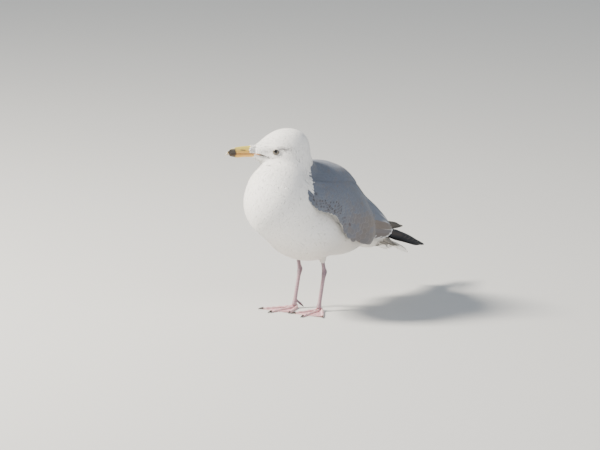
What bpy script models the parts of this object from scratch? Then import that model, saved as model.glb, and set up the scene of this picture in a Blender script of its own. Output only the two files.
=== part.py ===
"""Herring gull in its third year, life size, standing at rest with its head turned to its right.

The bird faces -Y with its left side at +X, and stands on Z = 0. Sizes are in metres. The body is one
smooth form, a soft union of named ellipsoids, and head, neck and trunk are cut from it. Wings, tail,
legs, bill, eyes and claws are pieces of their own, each 0.3 mm or more clear of its neighbours.
"""

import math

import bmesh
import bpy
import numpy as np
from mathutils import Matrix, Vector

# ---------------------------------------------------------------- driving sizes
GAP = 0.0003                      # clearance between touching pieces
STANCE = (0.0042, -0.0924)        # the bird's own origin, placed so that the part is centred on X = Y = 0
SOFTNESS = 0.0065                 # how softly the body's ellipsoids run into each other

# name: centre, half-sizes across / along / deep, pitch nose-up in degrees, yaw to the bird's right
BODY_FORMS = {
    "breast": ((0.000, -0.073, 0.190), (0.0585, 0.060, 0.057), 20, 0),
    "belly": ((0.000, -0.018, 0.144), (0.056, 0.085, 0.052), 24, 0),
    "flank": ((0.000, 0.062, 0.133), (0.048, 0.087, 0.046), 14, 0),
    "mantle": ((0.000, 0.030, 0.210), (0.046, 0.067, 0.037), 12, 0),
    "saddle": ((0.000, 0.066, 0.192), (0.036, 0.054, 0.034), 34, 0),
    "rump": ((0.000, 0.120, 0.129), (0.028, 0.078, 0.020), 32, 0),
    "vent": ((0.000, 0.140, 0.111), (0.024, 0.084, 0.013), 14, 0),
}
NECK_FORMS = {
    "neck": ((-0.003, -0.041, 0.238), (0.037, 0.038, 0.050), 0, 0),
    "crop": ((-0.003, -0.074, 0.218), (0.044, 0.044, 0.036), 20, 0),
}
HEAD_CENTRE = (-0.012, -0.048, 0.280)
HEAD_YAW = 36.0                   # the head looks this far to the bird's right
HEAD_PITCH = 0.0
HEAD_ROLL = 6.0                   # the crown leans to the bird's left
# name: centre forward / left / up of the head's own centre, half-sizes forward / across / up, nod
HEAD_FORMS = {
    "skull": ((-0.001, 0.000, 0.000), (0.033, 0.0250, 0.025), 0),
    "crown": ((-0.0125, 0.000, 0.004), (0.027, 0.022, 0.0225), 0),
    "cheeks": ((-0.004, 0.000, -0.011), (0.029, 0.0245, 0.016), 0),
    "lores": ((0.036, 0.000, -0.0070), (0.019, 0.0085, 0.0095), 0),
    "forehead": ((0.024, 0.000, 0.0000), (0.022, 0.0120, 0.0105), 24),
}
WING_FORMS = {
    "shoulder": ((0.036, -0.022, 0.188), (0.030, 0.050, 0.034), 24, 0),
    "arm": ((0.038, 0.045, 0.163), (0.028, 0.098, 0.044), 36, 0),
    "elbow": ((0.018, 0.074, 0.184), (0.026, 0.050, 0.028), 38, 0),
    "quills": ((0.023, 0.148, 0.133), (0.021, 0.082, 0.024), 38, 0),
}

# The spine runs up from the tail's root through the trunk into the neck: a cubic curve's four points
SPINE = ((0.0, 0.188, 0.108), (0.0, 0.080, 0.154), (0.0, -0.036, 0.152), (0.0, -0.060, 0.260))
NECK_CUT = 0.88                   # share of the spine at which trunk and neck part
HEAD_CUT = 1.012                  # share of the spine at which neck and head part
TRUNK_RINGS, BODY_SIDES = 25, 32
NECK_RINGS = 5
HEAD_RINGS, HEAD_SIDES = 18, 24

BILL_ROOT = 0.0500                # the bill's root face, forward of the head's centre
BILL_DROP = 0.0065                # the mouth line, below the head's centre
BILL_LENGTH = 0.048
LOWER_BILL_SHARE = 0.82           # the lower bill's length, of the upper's
BILL_HALF_WIDTH, UPPER_BILL_HEIGHT, LOWER_BILL_HEIGHT, HOOK_DROP = 0.0072, 0.0112, 0.0074, 0.0042
EYE_FORWARD, EYE_UP = 0.0175, -0.0015   # the eye's place, from the head's centre
EYE_RADIUS, EYE_BULGE = 0.0072, 0.0020

# shares of the spine along a folded wing: its bend above and below, and where coverts and tertials end
BEND_TOP, BEND_LOW, COVERTS_END, TERTIALS_END = 0.78, 0.85, 0.17, 0.025
WING_THICK, TERTIAL_THICK, WING_LIFT = 0.012, 0.0035, 0.0013   # a panel's depth, and its clearance
# (share of the spine, degrees down from the back's middle) along a folded wing's two long edges
WING_TOP_EDGE = ((-0.2, 1.6), (0.2, 1.8), (0.4, 9.0), (0.6, 26.0), (0.78, 42.0), (0.9, 60.0))
WING_LOW_EDGE = (
    (-0.2, 94.0), (0.0, 108.0), (0.2, 118.0), (0.35, 112.0), (0.45, 96.0),
    (0.55, 84.0), (0.7, 87.0), (0.78, 97.0), (0.86, 113.0))
PRIMARY_WIDTH, PRIMARY_THICK, PRIMARY_LEAN = 0.0260, 0.0040, 0.6   # lean: how far the blade faces outward
PRIMARY_ROOTS = {"left": (0.0215, 0.189, 0.1090), "right": (-0.0225, 0.190, 0.1062)}
PRIMARY_TIPS = {"left": (0.019, 0.317, 0.070), "right": (-0.022, 0.302, 0.091)}

TAIL_ROOT, TAIL_TIP = (0.0, 0.192, 0.1010), (0.0, 0.258, 0.068)
TAIL_ROOT_WIDTH, TAIL_TIP_WIDTH, TAIL_THICK = 0.040, 0.060, 0.0024

LEG_SPACING = 0.025               # from each leg to the middle between them
HIP = (-0.006, 0.017, 0.098)      # a leg's points, from the body's middle plane and the stance
ANKLE = (-0.008, 0.028, 0.064)
FOOT = (-0.008, 0.013, 0.0086)    # where the shank meets the toes
SHANK_RADIUS, ANKLE_SWELL, FOOT_SWELL = 0.0029, 0.0012, 0.0010
THIGH_LOW_RADIUS, THIGH_TOP_RADIUS = 0.0038, 0.0084
LEG_SIDES = 10
FOOT_HEADING = 7.0                # each foot turns out by this much
# name: length from the heel, angle outward from the foot's heading
TOES = {"inner": (0.047, -28.0), "middle": (0.060, 0.0), "outer": (0.055, 30.0)}
TOE_HALF_WIDTH, TOE_HEIGHT, WEB_HEIGHT, TOE_PITCH = 0.0032, 0.0048, 0.0011, 0.0030   # pitch: root to root
CLAW_LENGTH, CLAW_RADIUS = 0.0085, 0.0017
HIND_TOE_START, HIND_TOE_HEIGHT, HIND_TOE_LENGTH, HIND_TOE_RADIUS = 0.0058, 0.0130, 0.0080, 0.0022
HIND_CLAW_LENGTH, HIND_CLAW_RADIUS = 0.0045, 0.0012


def rgb(code):
    """The linear colour of an sRGB hex code."""
    channels = [int(code[i:i + 2], 16) / 255 for i in (0, 2, 4)]
    return tuple(c / 12.92 if c <= 0.04045 else ((c + 0.055) / 1.055) ** 2.4 for c in channels)


def clear_scene():
    for thing in list(bpy.data.objects):
        bpy.data.objects.remove(thing, do_unlink=True)


def finish(name, code, roughness):
    """A Principled material of one colour."""
    material = bpy.data.materials.new(name)
    material.use_nodes = True
    shader = material.node_tree.nodes["Principled BSDF"]
    shader.inputs["Base Color"].default_value = (*rgb(code), 1.0)
    shader.inputs["Roughness"].default_value = roughness
    shader.inputs["Metallic"].default_value = 0.0
    return material


def add_piece(name, mesh, code, roughness=0.8):
    """Puts a mesh in the scene as one named piece, standing on the shared stance."""
    piece = bpy.data.objects.new(name, mesh)
    bpy.context.scene.collection.objects.link(piece)
    mesh.materials.append(finish(name + "_finish", code, roughness))
    mesh.shade_smooth()
    mesh.set_sharp_from_angle(angle=math.radians(50))
    piece.parent = bpy.data.objects["stance"]
    return piece


# ---------------------------------------------------------------- smooth forms
def turned_axes(pitch, yaw):
    """Columns are a form's across, along and up axes; along points to the tail."""
    turn = Matrix.Rotation(math.radians(yaw), 3, "Z") @ Matrix.Rotation(math.radians(-pitch), 3, "X")
    return np.array(turn)


def head_axes():
    """Columns are the head's forward, left and up axes."""
    turn = Matrix.Rotation(math.radians(-HEAD_YAW), 3, "Z")
    turn = turn @ Matrix.Rotation(math.radians(HEAD_PITCH), 3, "X")
    turn = turn @ Matrix.Rotation(math.radians(HEAD_ROLL), 3, "Y")
    turn = np.array(turn)
    return np.stack([-turn[:, 1], turn[:, 0], turn[:, 2]], axis=1)


def body_ellipsoids(forms, mirrored=False):
    """(centre, axes, half-sizes) of each form, with its mirror image where asked."""
    found = []
    for centre, sizes, pitch, yaw in forms.values():
        found.append((np.array(centre), turned_axes(pitch, yaw), np.array(sizes)))
        if mirrored:
            other = np.array(centre) * (-1, 1, 1)
            found.append((other, turned_axes(pitch, -yaw), np.array(sizes)))
    return found


def head_ellipsoids():
    """The head's forms, placed and turned with the head."""
    found = []
    axes = head_axes()
    for centre, sizes, tilt in HEAD_FORMS.values():
        place = np.array(HEAD_CENTRE) + axes @ np.array(centre)
        c, s = math.cos(math.radians(tilt)), math.sin(math.radians(tilt))
        nod = np.array(((c, 0, s), (0, 1, 0), (-s, 0, c)))
        found.append((place, axes @ nod, np.array(sizes)))
    return found


def union_distance(points, ellipsoids):
    """Signed distance to the soft union: below zero inside, rounded where two forms meet."""
    total = np.zeros(points.shape[:-1])
    for centre, axes, sizes in ellipsoids:
        scaled = ((points - centre) @ axes) / sizes
        reach = np.linalg.norm(scaled, axis=-1) + 1e-9
        slope = np.linalg.norm(scaled / sizes, axis=-1) + 1e-9
        total += np.exp(-np.clip(reach * (reach - 1) / slope, -0.2, 0.4) / SOFTNESS)
    return -SOFTNESS * np.log(total)


def cast(ellipsoids, origins, directions, offset=0.0, far=0.20, floor_plane=None):
    """How far each ray runs from inside the union to its surface, moved out by the offset."""
    def field(reach):
        points = origins + directions * reach[..., None]
        value = union_distance(points, ellipsoids) - offset
        if floor_plane is not None:
            point, normal = floor_plane
            value = np.maximum(value, -((points - point) @ normal))
        return value

    shape = origins.shape[:-1]
    low = np.zeros(shape)
    high = np.full(shape, far)
    found = np.zeros(shape, bool)
    for step in np.linspace(0, far, 70)[1:]:
        outside = field(np.full(shape, step)) > 0
        fresh = outside & ~found
        high[fresh] = step
        found |= outside
        low[~found] = step
    for _ in range(24):
        middle = (low + high) / 2
        outside = field(middle) > 0
        high = np.where(outside, middle, high)
        low = np.where(outside, low, middle)
    return (low + high) / 2


def spine_frame(share):
    """Point, forward tangent and up axis of the spine at each share; straight past its tail end."""
    share = np.asarray(share, float)
    a, b, c, d = (np.array(p) for p in SPINE)
    t = np.maximum(share, 0)[..., None]
    point = (1 - t) ** 3 * a + 3 * (1 - t) ** 2 * t * b + 3 * (1 - t) * t ** 2 * c + t ** 3 * d
    slope = 3 * ((1 - t) ** 2 * (b - a) + 2 * (1 - t) * t * (c - b) + t ** 2 * (d - c))
    tangent = slope / np.linalg.norm(slope, axis=-1, keepdims=True)
    point = point + np.minimum(share, 0)[..., None] * 3 * (b - a)
    up = np.cross(tangent, (1.0, 0.0, 0.0))
    return point, tangent, up


def around(share, angle):
    """Ray origins and directions round the spine; angle 0 is the back and 90 degrees the left side."""
    point, _, up = spine_frame(share)
    across = np.array((1.0, 0.0, 0.0))
    direction = np.cos(angle)[..., None] * up + np.sin(angle)[..., None] * across
    return point + 0 * direction, direction


# ---------------------------------------------------------------- meshes from rings
def ring_mesh(name, rings, first=None, last=None):
    """A closed mesh through rings of equal count, its ends closed by a fan to first and last."""
    count, sides = rings.shape[:2]
    first = rings[0].mean(axis=0) if first is None else first
    last = rings[-1].mean(axis=0) if last is None else last
    points = np.concatenate([rings.reshape(-1, 3), [first], [last]])
    faces = []
    for i in range(count - 1):
        for j in range(sides):
            k = (j + 1) % sides
            faces.append((i * sides + j, i * sides + k, (i + 1) * sides + k, (i + 1) * sides + j))
    for j in range(sides):
        k = (j + 1) % sides
        faces.append((count * sides, k, j))
        faces.append((count * sides + 1, (count - 1) * sides + j, (count - 1) * sides + k))
    mesh = bpy.data.meshes.new(name)
    mesh.from_pydata(points.tolist(), [], faces)
    return outward(mesh)


def outward(mesh):
    """Triangulates a mesh and turns its faces out."""
    work = bmesh.new()
    work.from_mesh(mesh)
    bmesh.ops.triangulate(work, faces=work.faces)
    bmesh.ops.recalc_face_normals(work, faces=work.faces)
    if work.calc_volume(signed=True) < 0:
        bmesh.ops.reverse_faces(work, faces=work.faces)
    work.to_mesh(mesh)
    work.free()
    mesh.update()
    return mesh


def shell_mesh(name, outer, inner):
    """A closed mesh between an outer and an inner grid of points, joined round their edges."""
    rows, columns = outer.shape[:2]
    points = np.concatenate([outer.reshape(-1, 3), inner.reshape(-1, 3)])
    below = rows * columns
    faces = []
    for i in range(rows - 1):
        for j in range(columns - 1):
            a, b = i * columns + j, i * columns + j + 1
            c, d = b + columns, a + columns
            faces.append((a, b, c, d))
            faces.append((below + d, below + c, below + b, below + a))
    rim = [j for j in range(columns)]
    rim += [i * columns + columns - 1 for i in range(1, rows)]
    rim += [(rows - 1) * columns + j for j in range(columns - 2, -1, -1)]
    rim += [i * columns for i in range(rows - 2, 0, -1)]
    for a, b in zip(rim, rim[1:] + rim[:1]):
        faces.append((b, a, below + a, below + b))
    mesh = bpy.data.meshes.new(name)
    mesh.from_pydata(points.tolist(), [], faces)
    return outward(mesh)


def cut_mesh(mesh, point, normal):
    """Takes away what lies on the side that the normal points to, and closes the cut."""
    work = bmesh.new()
    work.from_mesh(mesh)
    geometry = work.verts[:] + work.edges[:] + work.faces[:]
    result = bmesh.ops.bisect_plane(
        work, geom=geometry, dist=1e-7, plane_co=Vector(point), plane_no=Vector(normal), clear_outer=True)
    edges = [e for e in result["geom_cut"] if isinstance(e, bmesh.types.BMEdge)]
    bmesh.ops.contextual_create(work, geom=edges)
    work.to_mesh(mesh)
    work.free()
    return outward(mesh)


def subtract(piece, cutter):
    """Cuts one object out of another, and hides the cutter."""
    modifier = piece.modifiers.new("cut", "BOOLEAN")
    modifier.operation = "DIFFERENCE"
    modifier.solver = "EXACT"
    modifier.object = cutter
    cutter.hide_render = True
    cutter.display_type = "WIRE"


# ---------------------------------------------------------------- head, neck and trunk
def all_ellipsoids():
    return body_ellipsoids(BODY_FORMS) + body_ellipsoids(NECK_FORMS) + head_ellipsoids()


def body_rings(shares, sides, offset=0.0):
    """Rings of the body's surface in planes square to the spine."""
    angle = np.linspace(0, 2 * math.pi, sides, endpoint=False)
    share = np.repeat(np.asarray(shares)[:, None], sides, axis=1)
    origins, directions = around(share, angle[None, :] + 0 * share)
    reach = cast(all_ellipsoids(), origins, directions, offset)
    return origins + directions * reach[..., None]


def make_trunk():
    steps = np.linspace(0, 1, TRUNK_RINGS)
    rings = body_rings(steps * NECK_CUT, BODY_SIDES)
    add_piece("trunk", ring_mesh("trunk", rings), "ECECEA")
    cutter = add_piece("trunk_cutter", ring_mesh("trunk_cutter", body_rings(
        steps * NECK_CUT, BODY_SIDES, offset=GAP)), "ECECEA")
    cutter.hide_render = True
    cutter.display_type = "WIRE"


def make_neck():
    length = np.linalg.norm(spine_frame(HEAD_CUT)[0] - spine_frame(NECK_CUT)[0])
    slip = GAP * (HEAD_CUT - NECK_CUT) / length * 1.3
    rings = body_rings(np.linspace(NECK_CUT + slip, HEAD_CUT, NECK_RINGS), BODY_SIDES)
    return add_piece("neck", ring_mesh("neck", rings), "F0F0EE")


def make_head():
    """Rays from the head's centre, in rings round its forward axis, cut at the neck and the bill."""
    axes = head_axes()
    centre = np.array(HEAD_CENTRE)
    polar = np.linspace(0, math.pi, HEAD_RINGS + 2)[1:-1]
    turn = np.linspace(0, 2 * math.pi, HEAD_SIDES, endpoint=False)
    polar, turn = np.meshgrid(polar, turn, indexing="ij")
    local = np.stack([np.cos(polar), np.sin(polar) * np.sin(turn), np.sin(polar) * np.cos(turn)], axis=-1)
    directions = local @ axes.T
    origins = centre + 0 * directions
    neck_point, neck_normal, _ = spine_frame(HEAD_CUT)
    low_plane = (neck_point - 0.022 * neck_normal, neck_normal)
    ellipsoids = all_ellipsoids()
    reach = cast(ellipsoids, origins, directions, floor_plane=low_plane)
    rings = origins + directions * reach[..., None]
    ends = [centre + axes[:, 0] * side * cast(
        ellipsoids, centre[None], (axes[:, 0] * side)[None], floor_plane=low_plane)[0] for side in (1, -1)]
    mesh = ring_mesh("head", rings, ends[0], ends[1])
    mesh = cut_mesh(mesh, neck_point + GAP * neck_normal, -neck_normal)
    bill_face = centre + axes[:, 0] * (BILL_ROOT - GAP)
    mesh = cut_mesh(mesh, bill_face, axes[:, 0])
    head = add_piece("head", mesh, "F2F2F0")
    for side, label in ((1, "left"), (-1, "right")):
        cutter = make_ball("socket_" + label, eye_centre(side), EYE_RADIUS + GAP, 14, 8)
        subtract(head, cutter)
    return head


def eye_centre(side):
    """The eyeball's middle: its front stands a little proud of the feathers beside it."""
    axes = head_axes()
    start = np.array(HEAD_CENTRE) + axes[:, 0] * EYE_FORWARD + axes[:, 2] * EYE_UP
    outward_way = axes[:, 1] * side
    reach = cast(all_ellipsoids(), start[None], outward_way[None])[0]
    return start + outward_way * (reach + EYE_BULGE - EYE_RADIUS)


def make_ball(name, centre, radius, sides, rings):
    mesh = bpy.data.meshes.new(name)
    work = bmesh.new()
    bmesh.ops.create_uvsphere(work, u_segments=sides, v_segments=rings, radius=radius)
    axes = head_axes()
    turn = Matrix([list(row) for row in np.stack([axes[:, 0], axes[:, 2], -axes[:, 1]], axis=1)]).to_4x4()
    work.transform(Matrix.Translation(Vector(centre)) @ turn)
    work.to_mesh(mesh)
    work.free()
    return add_piece(name, outward(mesh), "C9C29A", 0.15)


def make_eyes():
    for side, label in ((1, "left"), (-1, "right")):
        make_ball("eye_" + label, eye_centre(side), EYE_RADIUS, 14, 8)


# ---------------------------------------------------------------- bill
def bill_half(name, upper, code):
    """Rings along the bill from its root: half ovals above or below the straight mouth line."""
    length = BILL_LENGTH * (1 if upper else LOWER_BILL_SHARE)
    share = np.linspace(0, 1, 11) ** 0.9
    waist = np.sin(np.pi * np.minimum(share * 1.15, 1) / 2) ** 2
    half_width = BILL_HALF_WIDTH * (1 - share) ** 0.45 * (1 - 0.42 * waist)
    half_width = np.maximum(half_width, 0.0006)
    if upper:
        height = UPPER_BILL_HEIGHT * np.sqrt(np.clip(1 - (share * 0.985) ** 3.2, 0, 1))
        hook = -HOOK_DROP * np.clip((share - 0.80) / 0.20, 0, 1) ** 1.6
    else:
        gonys = np.exp(-((share - 0.66) / 0.16) ** 2)
        height = LOWER_BILL_HEIGHT * (1 - share) ** 0.22 * (1 + 0.18 * gonys)
        hook = -0.0006 * share
    angle = np.linspace(0, math.pi, 11)
    along = BILL_ROOT + share * length
    sign = 1 if upper else -1
    lift = (hook + sign * GAP / 2)[:, None]
    across = half_width[:, None] * np.cos(angle)[None, :]
    up = -BILL_DROP + lift + sign * np.maximum(height, 0.0008)[:, None] * np.sin(angle)[None, :] ** 0.85
    forward = along[:, None] + 0 * across
    local = np.stack([forward, across, up], axis=-1)
    rings = np.array(HEAD_CENTRE) + local @ head_axes().T
    return add_piece(name, ring_mesh(name, rings), code, 0.35)


def make_bill():
    bill_half("bill_upper", True, "D9B04A")
    bill_half("bill_lower", False, "D9A24A")


# ---------------------------------------------------------------- wings
def wing_panel(name, side, begin, end, thick, rows, columns):
    """A panel of a folded wing: outer face on the wings' own form, inner face on the body or below it."""
    u = np.linspace(0, 1, rows)[:, None]
    v = np.linspace(0, 1, columns)[None, :]
    share = begin(v) + (end(v) - begin(v)) * u
    top, low = through(WING_TOP_EDGE, share), through(WING_LOW_EDGE, share)
    angle = np.radians(top + (low - top) * v)
    origins, directions = around(share, side * angle)
    body = cast(all_ellipsoids(), origins, directions)
    wings = all_ellipsoids() + body_ellipsoids(WING_FORMS, mirrored=True)
    outer = cast(wings, origins, directions)
    middle = np.sin(np.pi * u) ** 0.5 * np.sin(np.pi * v) ** 0.5
    front = np.clip((share - 0.45) / 0.35, 0, 1)
    outer = body + (outer - body) * (1 - front * (1 - np.sin(np.pi * v) ** 0.6))
    inner = np.maximum(body + WING_LIFT, outer - thick * (0.12 + 0.88 * middle))
    outer = np.maximum(outer, inner + 0.0009)
    outer_points = origins + directions * outer[..., None]
    inner_points = origins + directions * inner[..., None]
    return add_piece(name, shell_mesh(name, outer_points, inner_points), "8E939B")


def through(points, at):
    """A smooth curve through (place, value) pairs, its slope at each the mean of its neighbours'."""
    place, value = np.array(points).T
    slope = np.gradient(value, place)
    index = np.clip(np.searchsorted(place, at) - 1, 0, len(place) - 2)
    width = place[index + 1] - place[index]
    t = np.clip((at - place[index]) / width, 0, 1)
    start = (2 * t ** 3 - 3 * t ** 2 + 1) * value[index] + (t ** 3 - 2 * t ** 2 + t) * width * slope[index]
    end = (3 * t ** 2 - 2 * t ** 3) * value[index + 1] + (t ** 3 - t ** 2) * width * slope[index + 1]
    return start + end


def make_primaries(label):
    """The bunch of wing-tip quills: a flat blade with a round point."""
    side = 1 if label == "left" else -1
    root, tip = np.array(PRIMARY_ROOTS[label]), np.array(PRIMARY_TIPS[label])
    share = np.linspace(0, 1, 10)
    along = (tip - root) / np.linalg.norm(tip - root)
    up = np.array((side * PRIMARY_LEAN, 0.0, 1.0))
    up = up - along * (up @ along)
    up = up / np.linalg.norm(up)
    across = np.cross(along, up)
    clear = np.minimum(share / 0.3, 1)
    half_width = PRIMARY_WIDTH / 2 * (0.55 + 0.45 * clear) * np.sqrt(1 - (share * 0.995) ** 2.6)
    half_thick = PRIMARY_THICK / 2 * (1 - share) + 0.0006
    angle = np.linspace(0, 2 * math.pi, 10, endpoint=False)
    centre = root + share[:, None] * (tip - root) + np.sin(np.pi * share)[:, None] * 0.002 * up
    rings = centre[:, None, :] + (half_width[:, None] * np.cos(angle))[..., None] * across
    rings = rings + (half_thick[:, None] * np.sin(angle))[..., None] * up
    name = "wing_" + label + "_primaries"
    return add_piece(name, ring_mesh(name, rings), "2B2A2C")


def make_wings():
    for side, label in ((1, "left"), (-1, "right")):
        wing_panel(
            "wing_" + label + "_coverts", side,
            begin=lambda v: BEND_TOP + (BEND_LOW - BEND_TOP) * v + 0.02 * np.sin(np.pi * v),
            end=lambda v: COVERTS_END + 0.0 * v, thick=WING_THICK, rows=16, columns=11)
        wing_panel(
            "wing_" + label + "_tertials", side,
            begin=lambda v: COVERTS_END - 0.004 + 0.0 * v,
            end=lambda v: TERTIALS_END - 0.05 * np.sin(np.pi * v) ** 0.8 - 0.03 * v,
            thick=TERTIAL_THICK, rows=8, columns=9)
        make_primaries(label)


# ---------------------------------------------------------------- tail
def make_tail():
    """The closed tail: the body's last section drawn out into a flat wedge of overlapping quills."""
    root, tip = np.array(TAIL_ROOT), np.array(TAIL_TIP)
    share = np.linspace(0, 1, 9)[:, None, None]
    along = (tip - root) / np.linalg.norm(tip - root)
    up = np.cross((1.0, 0.0, 0.0), along)
    angle = np.linspace(0, 2 * math.pi, BODY_SIDES, endpoint=False)[None, :, None]
    half_width = (TAIL_ROOT_WIDTH + (TAIL_TIP_WIDTH - TAIL_ROOT_WIDTH) * share ** 1.2) / 2
    blade = root + share * (tip - root) + half_width * np.sin(angle) * np.array((1.0, 0, 0))
    blade = blade + TAIL_THICK / 2 * np.cos(angle) * up
    stump = body_rings([0.0], BODY_SIDES) + along * (GAP + share * np.linalg.norm(tip - root))
    flat = np.clip(share / 0.55, 0, 1)
    flat = flat * flat * (3 - 2 * flat)
    add_piece("tail", ring_mesh("tail", stump + (blade - stump) * flat), "F0F0EE")


# ---------------------------------------------------------------- legs and feet
def tube(name, path, radii, sides, code, roughness=0.5, widen=1.0):
    """Rings of the given radii along a path, square to it."""
    path, radii = np.array(path), np.array(radii)
    tangent = np.gradient(path, axis=0)
    tangent = tangent / np.linalg.norm(tangent, axis=1, keepdims=True)
    side = np.cross(tangent, (0.0, 1.0, 0.0) if abs(tangent[0, 1]) < 0.8 else (1.0, 0.0, 0.0))
    side = side / np.linalg.norm(side, axis=1, keepdims=True)
    other = np.cross(side, tangent)
    angle = np.linspace(0, 2 * math.pi, sides, endpoint=False)[None, :, None]
    spread = side[:, None, :] * np.cos(angle) + widen * other[:, None, :] * np.sin(angle)
    rings = path[:, None, :] + spread * radii[:, None, None]
    return add_piece(name, ring_mesh(name, rings), code, roughness)


def make_leg(side, label):
    beside = np.array((side * LEG_SPACING, 0.0, 0.0))
    foot, ankle, hip = np.array(FOOT) + beside, np.array(ANKLE) + beside, np.array(HIP) + beside
    up_leg = (hip - ankle) / np.linalg.norm(hip - ankle)
    up_shank = (ankle - foot) / np.linalg.norm(ankle - foot)
    bend = (up_leg + up_shank) / np.linalg.norm(up_leg + up_shank)
    share = np.linspace(0, 1, 9)
    path = foot - 0.003 * up_shank + share[:, None] * (ankle - foot + 0.006 * up_shank)
    swell = ANKLE_SWELL * np.exp(-((share - 0.95) / 0.10) ** 2) + FOOT_SWELL * np.exp(-(share / 0.10) ** 2)
    shank = tube("shank_" + label, path, SHANK_RADIUS + swell, LEG_SIDES, "D9A9A9", widen=1.15)
    cut_mesh(shank.data, ankle - bend * GAP / 2, bend)
    cut_mesh(shank.data, foot, (0.0, 0.0, -1.0))
    path = ankle - 0.003 * up_leg + share[:, None] * (hip - ankle + 0.003 * up_leg)
    radii = THIGH_LOW_RADIUS + (THIGH_TOP_RADIUS - THIGH_LOW_RADIUS) * share ** 1.5
    thigh = tube("thigh_" + label, path, radii, LEG_SIDES, "E8E0DC")
    cut_mesh(thigh.data, ankle + bend * GAP / 2, -bend)
    subtract(thigh, bpy.data.objects["trunk_cutter"])
    make_foot(side, label)


def toe_directions(side):
    """Each toe's name, its flat unit direction and its length."""
    for name, (length, turn) in TOES.items():
        angle = math.radians(FOOT_HEADING + turn)
        yield name, np.array((side * math.sin(angle), -math.cos(angle), 0.0)), length


def make_foot(side, label):
    """Three toes fanned from the heel with the web between them, flat beneath; then claws and hind toe."""
    heel = np.array((FOOT[0] + side * LEG_SPACING, FOOT[1] + 0.004, 0.0))
    heading = math.radians(FOOT_HEADING)
    broad = np.array((side * math.cos(heading), math.sin(heading), 0.0))
    toes = list(toe_directions(side))
    share = np.linspace(0, 1, 10)
    tops = []
    for index, (name, way, length) in enumerate(toes):
        sideways = np.array((-way[1], way[0], 0.0)) * side
        base = heel + broad * (index - 1) * TOE_PITCH
        half = TOE_HALF_WIDTH * (0.45 + 0.55 * np.minimum(share * 5, 1)) * (1 - 0.35 * share)
        half = half * np.sqrt(np.clip(1 - np.clip((share - 0.90) / 0.105, 0, 1) ** 2, 0, 1))
        knuckles = 1 + 0.10 * np.cos(share * 2 * math.pi * 3)
        height = TOE_HEIGHT * (1 - 0.35 * share) * knuckles + 0.0028 * np.exp(-(share / 0.10) ** 2)
        if index:
            before_way, before_length, before_base = previous
            for mix in (0.33, 0.67):
                blend = before_way * (1 - mix) + way * mix
                blend = blend / np.linalg.norm(blend)
                scallop = 1 - 0.20 * math.sin(math.pi * mix) ** 0.7
                reach = (before_length * (1 - mix) + length * mix) * scallop * 0.93
                start = before_base * (1 - mix) + base * mix
                line = start + share[:, None] * reach * blend
                web = WEB_HEIGHT + 0.0045 * np.exp(-(share / 0.13) ** 2)
                tops.append((line, web))
        for offset in (-1.0, -0.45, 0.45, 1.0):
            line = base + share[:, None] * length * way + half[:, None] * offset * sideways
            rise = np.sqrt(1 - 0.80 * offset * offset)
            tops.append((line, height * rise))
        previous = (way, length, base)
    upper = np.stack([line + height[:, None] * np.array((0, 0, 1.0)) for line, height in tops], axis=1)
    lower = np.stack([line for line, _ in tops], axis=1)
    add_piece("foot_" + label, shell_mesh("foot_" + label, upper, lower), "D8A8AC", 0.5)
    for index, (name, way, length) in enumerate(toes):
        start = heel + broad * (index - 1) * TOE_PITCH + way * (length + GAP)
        curve = np.linspace(0, 1, 6)[:, None]
        path = start + way * CLAW_LENGTH * curve + np.array((0, 0, 1.0)) * (0.0021 - 0.0013 * curve ** 2)
        tube("claw_" + name + "_" + label, path, CLAW_RADIUS * (1 - 0.75 * curve[:, 0]), 6, "1E1B1A")
    make_hind_toe(side, label)


def make_hind_toe(side, label):
    """The small raised hind toe, and its claw that reaches down to the floor."""
    back = np.array((-side * 0.5, 0.866, 0.0))
    start = np.array((FOOT[0] + side * LEG_SPACING, FOOT[1], HIND_TOE_HEIGHT)) + back * HIND_TOE_START
    curve = np.linspace(0, 1, 5)[:, None]
    path = start + back * HIND_TOE_LENGTH * curve - np.array((0, 0, 0.0090)) * curve ** 1.2
    tube("toe_hind_" + label, path, HIND_TOE_RADIUS * (1 - 0.35 * curve[:, 0]), 8, "D8A8AC")
    along = (path[-1] - path[-2]) / np.linalg.norm(path[-1] - path[-2])
    radii = HIND_CLAW_RADIUS * (1 - 0.8 * curve[:, 0])
    path = path[-1] + along * GAP + (along * HIND_CLAW_LENGTH + back * 0.0010) * curve
    path[:, 2] = np.maximum(path[:, 2], radii)
    tube("claw_hind_" + label, path, radii, 6, "1E1B1A")


# ---------------------------------------------------------------- the whole bird
clear_scene()
stance = bpy.data.objects.new("stance", None)
stance.location = (STANCE[0], STANCE[1], 0.0)
bpy.context.scene.collection.objects.link(stance)
make_trunk()
make_neck()
make_head()
make_eyes()
make_bill()
make_wings()
make_tail()
for leg_side, leg_label in ((1, "left"), (-1, "right")):
    make_leg(leg_side, leg_label)
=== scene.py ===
"""Herring gull, not quite adult, life size, standing at rest with its head turned to its right.

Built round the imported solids. The bird's own form is repeated here from the solids' named sizes, as a soft
union of ellipsoids, so that the skin and every feather can be laid at a chosen depth under or over it.
Units are metres. The bird faces -Y with its left side at +X.
"""

import math

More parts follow.
